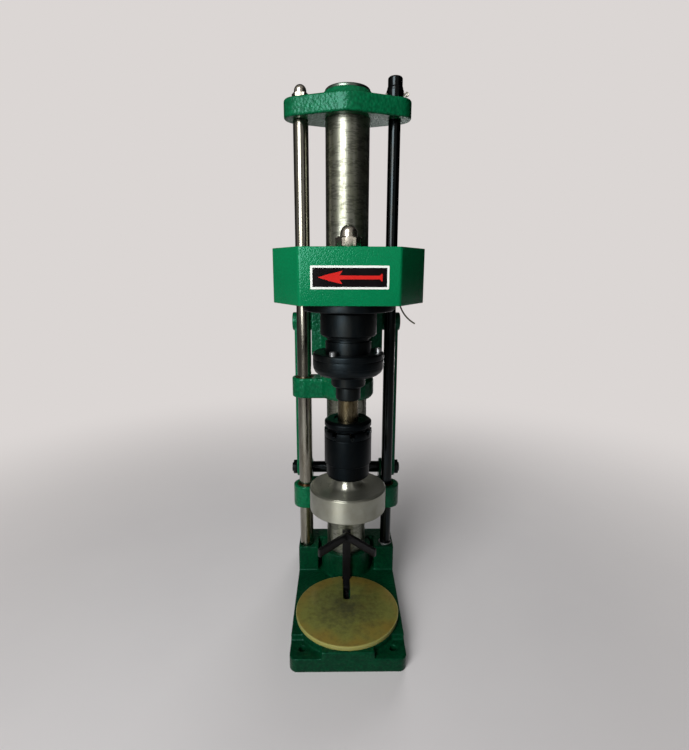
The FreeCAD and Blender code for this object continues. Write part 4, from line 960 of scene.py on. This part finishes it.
@dataclass(frozen=True)
class MachinedPiece:
    """A machined or folded piece, copied from its solid with broken edges.

    Attributes:
        name: name of the piece.
        node: the solid that it replaces.
        body: the body that it rides on.
        slot: the record's material slot.
        finish: short name of its finish.
        ease: width of the broken edge in mm.
        segments: pieces across it.
        corner: edges sharper than this many degrees are broken.
        crease: edges sharper than this many degrees stay crisp in shading.
    """

    name: str
    node: str
    body: Body
    slot: str
    finish: str
    ease: float
    segments: int = 2
    corner: float = 32.0
    crease: float = CREASE

    def build(self, finishes: Finishes) -> None:
        """Makes the piece."""
        piece = eased_copy(self.name, self.node, finishes[self.finish], self.ease, self.segments,
                           self.corner, self.crease)
        settle(piece, self.body, self.slot, self.node)


# Pieces that keep the form of their solid, with softer edges.
COPIES = (
    # The base takes the enamel painted darker as painted shade.
    CastPiece("base_body", "base_casting", Body.BASE, 1.15, 0.55, 3, "oiled_cast"),
    CastPiece("yoke_body", "top_yoke", Body.BASE, 1.0, 0.7),
    CastPiece("head_body", "head_casting", Body.HEAD, 1.5, 0.75),
    CastPiece("link_bars", "side_links", Body.HEAD, 1.1, 0.6),
    CastPiece("bracket_body", "lower_bracket", Body.HEAD, 1.1, 0.6),
    MachinedPiece("locator_bar", "locator_post", Body.LOCATOR, "locator_black", "flat_black", 0.8),
    MachinedPiece("locator_jaws", "locator_vee", Body.LOCATOR, "locator_black", "flat_black", 0.8),
    MachinedPiece("cover_shell", "belt_cover", Body.HEAD, "green_enamel", "sheet", 1.6, 3, 60.0, 50.0),
    MachinedPiece("chuck_castle", "chuck_crown", Body.CHUCK, "black_oxide", "oiled_black", 0.4),
    MachinedPiece("eye_body", "pull_eye", Body.HEAD, "locator_black", "flat_black", 0.8),
    MachinedPiece("cross_nuts", "cross_shaft_nuts", Body.HEAD, "black_screws", "black_screw", 0.6),
    MachinedPiece("terminal_housing", "terminal_box", Body.HEAD, "box_plastic", "box", 0.9),
)


@dataclass
class JarPad:
    """Round resin pad with its slot."""

    pad_radius: float = 69.5
    pad_low: float = 28.5
    pad_top: float = 34.8
    slot_half: float = 5.0
    slot_front: float = -86.0
    rim_ease: float = 0.7

    def pad_outline(self) -> list[Point]:
        """The disc's outline with the slot's open end at the back and its round end in front."""
        gap = math.degrees(math.asin(self.slot_half / self.pad_radius))
        disc = arc((0, SPINDLE_Y), self.pad_radius, 90 + gap, 450 - gap, 120)
        slot = arc((0, self.slot_front), self.slot_half, 0, -180, 14)
        return disc + slot

    def build(self, finishes: Finishes) -> None:
        """Makes the pad."""
        pad = solid_outline("pad_disc", self.pad_outline(), self.pad_low, self.pad_top, finishes["pad"],
                            ease=self.rim_ease)
        settle(pad, Body.BASE, "pad_resin", "jar_pad")


@dataclass
class ColumnAndRods:
    """The honed column with its disc, the bright left bar and the black right bar."""

    column_radius: float = 29.0
    column_wall: float = 5.0
    column_low: float = 8.0
    column_top: float = 707.5
    disc_radius: float = 29.25
    disc_thick: float = 4.0
    rod_x: float = 61.0
    left_radius: float = 10.0
    right_radius: float = 8.0
    rod_low: float = 12.0
    yoke_low: float = 675.5
    yoke_top: float = 698.5
    stud_radius: float = 5.0
    stud: float = 11.5
    collar_radius: float = 11.2
    collar_height: float = 16.5
    stub: float = 25.0
    cap_radius: float = 9.45
    cap_height: float = 12.0
    foot_low: float = 68.5

    def build(self, finishes: Finishes) -> None:
        """Makes the column, both bars and what sits on their ends."""
        inner = self.column_radius - self.column_wall
        lathe(Body.BASE, "column_steel", "column", "column_tube", [
            (inner, self.column_low), (self.column_radius, self.column_low),
            (self.column_radius, self.column_top), (inner, self.column_top)], (0, 0), finishes["column"],
            0.6, 128)
        level, reach = self.column_top, self.disc_radius
        lathe(Body.BASE, "column_cap_steel", "column_cap", "column_disc", [
            (0, level - 12), (inner - 0.1, level - 12), (inner - 0.1, level), (reach, level),
            (reach, level + 2.5), (reach - 1.5, level + self.disc_thick), (7, level + self.disc_thick),
            (6, level + self.disc_thick - 0.8), (0, level + self.disc_thick - 0.8)], (0, 0),
            finishes["disc"])
        self._left(finishes)
        self._right(finishes)

    def _left(self, finishes: Finishes) -> None:
        """The left bar and its domed nut."""
        thick, thin = self.left_radius, self.stud_radius
        top = self.yoke_top + self.stud
        lathe(Body.BASE, "bright_rod", "left_rod", "left_bar", [
            (0, self.rod_low), (thick, self.rod_low), (thick, self.yoke_low), (thin, self.yoke_low),
            (thin, top), (0, top)], (-self.rod_x, 0), finishes["left_bar"], 0.5, 72)
        nut = domed_nut("left_bar_nut", (-self.rod_x, 0), self.yoke_top, 19, 8.5, 16, finishes["nickel"])
        settle(nut, Body.BASE, "bright_nut", "left_rod_nut")

    def _right(self, finishes: Finishes) -> None:
        """The right bar with its collar, cap and foot bush."""
        radius, axis = self.right_radius, (self.rod_x, 0)
        lathe(Body.BASE, "black_rod", "right_rod", "right_bar", [
            (0, self.rod_low), (radius, self.rod_low), (radius, self.yoke_top + self.stub - 0.2),
            (0, self.yoke_top + self.stub - 0.2)], axis, finishes["right_bar"], 0.5, 64)
        low, bore = self.yoke_top, radius + 0.05
        lathe(Body.BASE, "black_rod", "rod_collar", "right_collar", [
            (bore, low), (self.collar_radius, low), (self.collar_radius, low + 12),
            (self.collar_radius - 0.8, low + 12.6), (self.collar_radius - 0.8, low + 14),
            (self.collar_radius - 1.4, low + self.collar_height), (bore, low + self.collar_height)], axis,
            finishes["right_bar"], 0.5, 64)
        low += self.collar_height
        lathe(Body.BASE, "black_rod", "rod_end_cap", "right_cap", [
            (bore, low), (self.cap_radius, low), (self.cap_radius, low + self.cap_height - 3),
            *arc((self.cap_radius - 3, low + self.cap_height - 3), 3, 15, 90, 5),
            (0, low + self.cap_height), (0, low + 8.6), (bore, low + 8.6)], axis, finishes["right_bar"],
            0.3, 64)
        low = self.foot_low
        lathe(Body.BASE, "bright_rod", "rod_foot_bush", "right_foot", [
            (bore, self.rod_low), (9, self.rod_low), (9, low), (10, low), (10, low + 2), (bore, low + 2)],
            axis, finishes["zinc"], 0.4, 64)


@dataclass
class BearingCap:
    """The bearing cap below the head's plate, its screws and the balance spring behind the column."""

    cap_low: float = 440.0
    cap_radius: float = 54.0
    cap_bore: float = 14.0
    spigot: float = 35.0
    cap_top: float = 448.7
    spigot_top: float = 451.7
    screw_circle: float = 41.0

    def build(self, finishes: Finishes) -> None:
        """Makes the cap, its screws and the spring."""
        low, rim = self.cap_low, self.cap_radius
        lathe(Body.HEAD, "black_oxide", "bearing_cap", "bearing_disc", [
            (self.cap_bore, low), (31, low), (31.6, low + 0.8), (33.4, low + 0.8), (34, low),
            (rim - 1, low), (rim, low + 1), (rim, self.cap_top), (self.spigot, self.cap_top),
            (self.spigot, self.spigot_top), (self.cap_bore, self.spigot_top)], (0, SPINDLE_Y),
            finishes["black"], 0.3)
        item = socket_screw(8.8, 1.2, 4, 1.0, finishes["black_screw"], down=True)
        ring = RingPattern(self.screw_circle, 4, 60, 180, (0, SPINDLE_Y, low + 0.4))
        screws = ring.build("cap_screw_heads", item, finishes["black_screw"])
        settle(screws, Body.HEAD, "black_screws", "cap_screws")
        flex("balance_spring", finishes["wire"], 12)


@dataclass
class ArrowSign:
    """Printed plate with an arrow on the front of the belt cover."""

    front: float = -164.6
    sign_width: float = 83.3
    sign_tall: float = 24.5
    sign_middle: float = 478.85
    border: float = 2.3
    sheet: float = 0.5
    ink: float = 0.13

    def arrow(self) -> list[Point]:
        """Outline of the arrow: a swept head to the left and a flared tail to the right."""
        upper = [(-33.8, 0.0), (-22.0, 3.6), (-7.6, 6.9), (-11.0, 2.1), (30.6, 1.9), (32.2, 2.4), (33.6, 3.9)]
        lower = [(x, -y) for x, y in reversed(upper[1:])]
        return upper + [(34.6, 3.6), (34.6, -3.6)] + lower

    def build(self, finishes: Finishes) -> None:
        """Makes the plate: white sheet, black field and red arrow, each a thin layer."""
        place = Matrix.Translation((0, self.front * MM, self.sign_middle * MM))
        turn = place @ Matrix.Rotation(math.pi / 2, 4, "X")
        half_x, half_z = self.sign_width / 2, self.sign_tall / 2
        inner_x, inner_z = half_x - self.border, half_z - self.border
        corner = 0.8
        plate = []
        for x, z, start in ((1, 1, 0), (-1, 1, 90), (-1, -1, 180), (1, -1, 270)):
            plate += arc((x * (half_x - corner), z * (half_z - corner)), corner, start, start + 90, 4)
        field_corners = [(inner_x, inner_z), (-inner_x, inner_z), (-inner_x, -inner_z), (inner_x, -inner_z)]
        layers = [
            solid_outline("sheet", plate, 0, self.sheet, finishes["sign_white"], turn),
            solid_outline("field", field_corners, self.sheet, self.sheet + self.ink,
                          finishes["sign_black"], turn),
            solid_outline("arrow", self.arrow(), self.sheet + self.ink, self.sheet + 2 * self.ink,
                          finishes["sign_red"], turn)]
        settle(join("arrow_sign", layers), Body.HEAD, "sign_face", "sign_plate")


@dataclass
class ClutchStack:
    """What turns under the bearing cap: driver, ring, cup, hub, nut and shaft."""

    driver: float = 33.7
    neck: float = 27.45
    ring: float = 42.9
    cup_end: float = 31.0
    hub: float = 20.75
    nut: float = 15.25
    shaft: float = 12.75
    driver_top: float = 438.2
    neck_top: float = 410.2
    ring_top: float = 390.0
    cup_top: float = 374.5
    cup_low: float = 362.0
    hub_low: float = 348.0
    nut_low: float = 331.0
    screw_circle: float = 36.5
    dome_low: float = 512.1
    spindle_bore: float = 12.6
    well: float = 21.0
    well_low: float = 386.2
    well_top: float = 430.2
    ring_bore: float = 32.5
    ring_lip: float = 27.5
    ring_floor: float = 385.0
    cup_bore: float = 21.35
    plate: float = 31.5
    plate_low: float = 376.7
    plate_top: float = 380.7

    def build(self, finishes: Finishes) -> None:
        """Makes each turned piece and the ring's screws."""
        axis, black = (0, SPINDLE_Y), finishes["black"]
        nut = domed_nut("spindle_dome_nut", axis, self.dome_low, 27, 11.5, 20, finishes["nickel"])
        settle(nut, Body.SPINDLE, "bright_nut", "spindle_nut")
        body, neck, top = self.driver, self.neck, self.neck_top
        lathe(Body.SPINDLE, "black_oxide", "clutch_driver", "driver_drum", [
            (self.well, self.well_low), (neck, self.well_low), (neck, top - 6.2), (neck - 2.3, top - 5.8),
            (neck - 2.3, top - 2.9), (neck, top - 2.5), (neck, top), (body - 1.8, top), (body, top + 1.8),
            (body, self.driver_top - 1.4), (body - 1.4, self.driver_top),
            (self.spindle_bore, self.driver_top), (self.spindle_bore, self.well_top),
            (self.well, self.well_top)], axis, black)
        rim, low = self.ring, self.cup_top
        lathe(Body.SPINDLE, "black_oxide", "clutch_ring", "clutch_rim", [
            (self.ring_bore, low), (rim, low), (rim, low + 7.4), (rim - 0.5, low + 7.8),
            (rim - 0.5, low + 8.4), (rim, low + 8.8), (rim, self.ring_top - 1.2),
            (rim - 1.2, self.ring_top), (30.2, self.ring_top), (29.6, self.ring_top - 0.6),
            (self.ring_lip, self.ring_top - 0.6), (self.ring_lip, self.ring_floor),
            (self.ring_bore, self.ring_floor)], axis, black, 0.35)
        lathe(Body.SPINDLE, "black_oxide", "clutch_cup", "clutch_bowl", [
            (self.cup_bore, self.cup_low), (self.cup_end, self.cup_low), (36.35, self.cup_low + 1.5),
            (40.28, self.cup_low + 4.75), (42.3, self.cup_low + 8.75), (rim, self.cup_top),
            (self.cup_bore, self.cup_top)], axis, black, 0.3)
        item = socket_screw(8.5, 5, 4, 2.6, finishes["black_screw"])
        screws = RingPattern(self.screw_circle, 3, 120, 0, (0, SPINDLE_Y, self.ring_top)).build(
            "rim_screw_heads", item, finishes["zinc"])
        settle(screws, Body.SPINDLE, "black_screws", "ring_screws")
        self._output(finishes)

    def _output(self, finishes: Finishes) -> None:
        """Hub and lock nut."""
        axis, black, bore = (0, SPINDLE_Y), finishes["black"], self.shaft + 0.03
        hub, low = self.hub, self.hub_low
        lathe(Body.DRIVEN, "black_oxide", "driven_hub", "output_hub", [
            (bore, low), (hub - 1.8, low), (hub, low + 1.8), (hub, self.plate_low),
            (self.plate, self.plate_low), (self.plate, self.plate_top), (bore, self.plate_top)], axis,
            black)
        nut, low, top = self.nut, self.nut_low, self.hub_low
        lathe(Body.DRIVEN, "black_oxide", "lock_nut", "output_nut", [
            (bore, low), (nut - 1.5, low), (nut, low + 1.5), (nut, top - 1.5), (nut - 1.5, top),
            (bore, top)], axis, black)


@dataclass
class ChuckAndCapHead:
    """Floating chuck and the turned head with its rubber cone."""

    flange: float = 29.1
    flange_low: float = 293.8
    flange_top: float = 306.4
    bore: float = 12.82
    body: float = 29.45
    body_low: float = 249.9
    body_top: float = 285.0
    lower: float = 27.0
    lower_low: float = 230.5
    neck: float = 15.5
    flare: float = 24.0
    neck_end: float = 229.0
    disc: float = 48.5
    disc_top: float = 216.6
    disc_low: float = 186.4
    waist: float = 26.0
    well: float = 16.25
    well_low: float = 279.4
    tail_bore: float = 12.05
    stem: float = 12.0
    stem_top: float = 248.9
    mouth: float = 40.0
    roof: float = 19.0
    mouth_depth: float = 20.0

    def build(self, finishes: Finishes) -> None:
        """Makes the chuck, the cap head and the cone."""
        axis, black = (0, SPINDLE_Y), finishes["oiled_black"]
        rim, low, top, bore = self.flange, self.flange_low, self.flange_top, self.bore
        lathe(Body.CHUCK, "black_oxide", "chuck_flange", "chuck_collar", [
            (bore, low), (self.waist, low), (self.waist, low + 4), (rim - 1.2, low + 4), (rim, low + 5.2),
            (rim, top - 2.6), (rim - 3.4, top), (bore + 5, top), (bore + 4, top - 1.6), (bore, top - 1.6)],
            axis, black, 0.6)
        wide, low, top = self.body, self.body_low, self.body_top
        lathe(Body.CHUCK, "black_oxide", "chuck_body", "chuck_barrel", [
            (0, low), (wide - 0.9, low), (wide, low + 0.9), (wide, top - 0.9), (wide - 0.9, top),
            (self.well, top), (self.well, self.well_low), (bore, self.well_low), (bore, low + 3),
            (0, low + 3)], axis, black, 0.3)
        wide, low, top = self.lower, self.lower_low, self.body_low
        lathe(Body.CHUCK, "black_oxide", "chuck_lower_ring", "chuck_tail", [
            (self.tail_bore, low), (wide - 3.4, low), (wide - 0.7, low + 2.2), (wide, low + 4.2),
            (wide, top - 0.6), (wide - 0.5, top), (self.tail_bore, top)], axis, black, 0.6)
        flex("float_spring", finishes["wire"])
        self._head(finishes)

    def _head(self, finishes: Finishes) -> None:
        """The turned head: a neck that sweeps out to the disc, and a tapered mouth below."""
        top, low, rim = self.disc_top, self.disc_low, self.disc
        sweep = []
        steps = 10
        for i in range(steps + 1):
            t = i / steps
            sweep.append((self.neck + (self.flare - self.neck) * (1 - math.cos(t * math.pi / 2)),
                          self.neck_end - (self.neck_end - top) * math.sin(t * math.pi / 2)))
        profile = [
            (0, self.stem_top), (self.stem, self.stem_top), (self.stem, self.lower_low),
            (self.neck - 0.4, self.lower_low), (self.neck, 230.1), *sweep, (rim - 3.2, top),
            (rim - 2.9, top - 0.35), (rim - 1.2, top - 0.35), (rim, top - 1.5), (rim, low + 1.2),
            (rim - 1.2, low), (self.mouth + 0.6, low), (self.mouth, low + 0.6),
            (self.roof, low + self.mouth_depth), (0, low + self.mouth_depth)]
        lathe(Body.CHUCK, "turned_aluminium", "cap_head", "cap_head_body", profile, (0, SPINDLE_Y),
              finishes["aluminium"], 0, 144)
        shift, wall = 0.1, 9.0
        slope = (self.mouth - self.roof) / self.mouth_depth
        ribs = []
        ledge = low + self.mouth_depth - 1
        inside = ((self.roof - shift - wall + 2, ledge), (self.mouth - shift - wall, low + 1))
        steps = 5
        for i in range(steps + 1):
            t = i / steps
            reach = inside[0][0] + (inside[1][0] - inside[0][0]) * t
            level = inside[0][1] + (inside[1][1] - inside[0][1]) * t
            ribs.append((reach, level))
            if i < steps:
                ribs.append((reach + 0.55 * slope + 1.0, level - 0.9))
        lathe(Body.CHUCK, "cone_rubber", "cap_cone", "cap_cone_ring", [
            (self.mouth - shift - slope, low + 1), (self.roof - shift + slope, ledge), *ribs],
            (0, SPINDLE_Y), finishes["cone"], 0.3)


@dataclass
class DriveMotor:
    """Finned motor behind the column."""

    axis_y: float = 94.0
    radius: float = 55.0
    fin_depth: float = 4.0
    low: float = 359.7
    flange_low: float = 441.7
    top: float = 451.7
    bell_low: float = 337.7
    fin_count: int = 28
    slot_count: int = 12

    def build(self, finishes: Finishes) -> None:
        """Makes the shell with its fins and ridges."""
        paint, axis = finishes["motor"], (0, self.axis_y)
        core, rim = self.radius - self.fin_depth, self.radius
        shell = turned("shell", [
            (0, self.bell_low), (8, self.bell_low), (9, self.bell_low + 1), (20, self.bell_low + 1),
            (21, self.bell_low), (rim - 12, self.bell_low), (rim - 6.4, self.bell_low + 2.2),
            (rim - 3, self.bell_low + 7), (rim - 1, self.low - 1), (rim - 1, self.low),
            (core, self.low + 0.4), (core, self.flange_low - 2), (rim, self.flange_low), (rim, self.top),
            (20, self.top), (20, 455.7), (7.1, 455.7), (7.1, self.top - 1), (0, self.top - 1)], axis, paint,
            0.8)
        blade = [(-2.0, -1.6), (3.2, -1.2), (3.9, -0.6), (3.9, 0.6), (3.2, 1.2), (-2.0, 1.6)]
        fin = solid_outline("fin", blade, self.low + 0.5, self.flange_low - 1, paint)
        fins = RingPattern(core, self.fin_count, 360 / self.fin_count, 0, (0, self.axis_y, 0)).build(
            "fins", fin, paint)
        ridge = solid_outline("ridge", [(-1.5, -1.4), (9, -2.4), (9, 2.4), (-1.5, 1.4)], 0, 1.2, paint,
                              ease=0.5)
        ridges = RingPattern(26, self.slot_count, 360 / self.slot_count, 15,
                             (0, self.axis_y, self.bell_low - 0.2)).build("ridges", ridge, paint)
        settle(join("motor_shell", [shell, fins, ridges]), Body.HEAD, "motor_enamel", "motor_body")


@dataclass(frozen=True)
class Lamp:
    """A soft rectangular light that faces the machine.

    Attributes:
        name: name of the light.
        turn: where it stands, in degrees from straight in front, to the left if below zero.
        distance: how far off, in metres.
        height: how high, in metres.
        size: its width and height in metres.
        power: its power in watts.
        spread: how wide it shines, in degrees.
        mirrored: true if it is seen in bright surfaces.
        target: what it points at, in metres.
    """

    name: str
    turn: float
    distance: float
    height: float
    size: Span
    power: float
    spread: float = 180.0
    mirrored: bool = True
    target: Point = (0.0, 0.0, 0.5)

    def build(self) -> None:
        """Hangs the light."""
        data = bpy.data.lights.new(self.name, "AREA")
        data.shape = "RECTANGLE"
        data.size, data.size_y = self.size
        data.energy, data.spread = self.power, math.radians(self.spread)
        lamp = bpy.data.objects.new(self.name, data)
        lamp.visible_glossy = self.mirrored
        bpy.context.scene.collection.objects.link(lamp)
        angle = math.radians(self.turn)
        place = Vector((math.sin(angle) * self.distance, -math.cos(angle) * self.distance, self.height))
        aim = Vector(self.target) - place
        lamp.matrix_world = Matrix.Translation(place) @ aim.to_track_quat("-Z", "Y").to_matrix().to_4x4()


@dataclass
class Studio:
    """Camera at the photographer's place, a tall soft window light and a pale room."""

    camera_place: Point = (-0.0120, -0.6788, 0.4880)
    look_right: float = -0.75
    look_down: float = 12.53
    roll: float = 0.16
    lens: float = 22.99
    sensor: float = 36.0
    floor_half: float = 6.0
    lamps: tuple[Lamp, ...] = (
        Lamp("window", -26.0, 1.3, 1.0, (0.7, 1.4), 11.2, 110.0),
        Lamp("second_window", 33.0, 2.2, 0.8, (0.3, 1.4), 0.5),
        Lamp("back_fill", 163.0, 2.4, 0.5, (1.2, 1.2), 46.0, mirrored=False))
    wall: str = "#dbd6d4"
    wall_mirrored: float = 0.6
    room_front: float = 0.40
    room_behind: float = 0.04
    room_right: float = 0.03
    daylight: str = "#f3f2f0"
    boards: tuple[str, str, str] = ("#dedbdc", "#e6e3e3", "#6f6b69")
    fill_left: float = 0.14
    fill_right: float = 0.01
    fade_start: float = 0.12
    fade_end: float = 1.25

    def build(self) -> None:
        """Makes the camera, the lights, the room's light and the floor."""
        scene = bpy.context.scene
        scene.view_settings.view_transform = "Standard"
        data = bpy.data.cameras.new("camera")
        data.sensor_width, data.lens = self.sensor, self.lens
        data.clip_start, data.clip_end = 0.01, 50
        camera = bpy.data.objects.new("camera", data)
        scene.collection.objects.link(camera)
        camera.matrix_world = (
            Matrix.Translation(self.camera_place)
            @ Matrix.Rotation(math.radians(self.look_right), 4, "Z")
            @ Matrix.Rotation(math.radians(90 - self.look_down), 4, "X")
            @ Matrix.Rotation(math.radians(self.roll), 4, "Z"))
        scene.camera = camera
        for lamp in self.lamps:
            lamp.build()
        self._room()
        self._floor()

    def _room(self) -> None:
        """A pale room seen by the camera; mirrored, it is grey in front and dark to the right."""
        world = bpy.data.worlds.new("pale_room")
        world.use_nodes = True
        tree = world.node_tree
        tree.nodes.clear()
        direction = add(tree, "ShaderNodeTexCoord").outputs["Generated"]
        across, away, _ = add(tree, "ShaderNodeSeparateXYZ", {0: direction}).outputs
        behind = remap(tree, away, (0.9, 1.0), (0.0, self.wall_mirrored), True)
        depth = remap(tree, away, (-0.3, 0.4), (self.room_front, self.room_behind), True)
        side = remap(tree, across, (0.50, 0.75), (1.0, self.room_right), True)
        seen = calculate(tree, "MULTIPLY_ADD", depth, side, behind)
        path = add(tree, "ShaderNodeLightPath").outputs
        mirror = calculate(tree, "MAXIMUM", path["Is Glossy Ray"], path["Is Transmission Ray"])
        soft = remap(tree, across, (-1.0, 0.3), (self.fill_left, self.fill_right))
        fill, glow, wall = (
            add(tree, "ShaderNodeBackground", {0: linear(colour), 1: strength}).outputs[0]
            for colour, strength in ((self.daylight, soft), (self.wall, seen), (self.wall, 1.0)))
        mixed = add(tree, "ShaderNodeMixShader", {0: mirror, 1: fill, 2: glow}).outputs[0]
        final = add(tree, "ShaderNodeMixShader", {0: path["Is Camera Ray"], 1: mixed, 2: wall}).outputs[0]
        add(tree, "ShaderNodeOutputWorld", {0: final})
        bpy.context.scene.world = world

    def _floor(self) -> None:
        """A pale board that fades to the wall's colour; it throws little light back on the machine."""
        material, shader, place = surface("painted_board", Roughness=0.55)
        tree = material.node_tree
        path = add(tree, "ShaderNodeLightPath").outputs
        seen = calculate(tree, "MAXIMUM", path["Is Camera Ray"], path["Is Glossy Ray"])
        grain = add(tree, "ShaderNodeTexNoise", {"Vector": place, "Scale": 6.0, "Detail": 4.0}).outputs[0]
        low, high, unseen = self.boards
        feed(shader, Base_Color=blend(tree, seen, unseen, blend(tree, grain, low, high)))
        far = remap(tree, vector(tree, "LENGTH", place), (self.fade_start, self.fade_end), (0.0, 1.0), True)
        share = calculate(tree, "MULTIPLY", far, path["Is Camera Ray"])
        distant = add(tree, "ShaderNodeEmission", {0: linear(self.wall), 1: 1.0}).outputs[0]
        both = add(tree, "ShaderNodeMixShader", {0: share, 1: shader.outputs[0], 2: distant}).outputs[0]
        feed(tree.nodes["Material Output"], Surface=both)
        form = bmesh.new()
        half = self.floor_half
        form.faces.new([form.verts.new((x, y, 0)) for x, y in (
            (-half, -half), (half, -half), (half, half), (-half, half))])
        floor = new_object("floor_board", mesh_of(form), material)


def main() -> None:
    """Builds the machine's pieces in order."""
    logging.basicConfig(level=logging.INFO, format="%(message)s")
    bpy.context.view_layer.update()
    finishes = Finishes()
    Studio().build()
    for part in (*COPIES, JarPad(), ColumnAndRods(), BearingCap(), ArrowSign(), ClutchStack(),
                 ChuckAndCapHead(), DriveMotor()):
        log.info("building %s", type(part).__name__)
        part.build(finishes)
    dress(finishes)


if __name__ == "__main__":
    main()
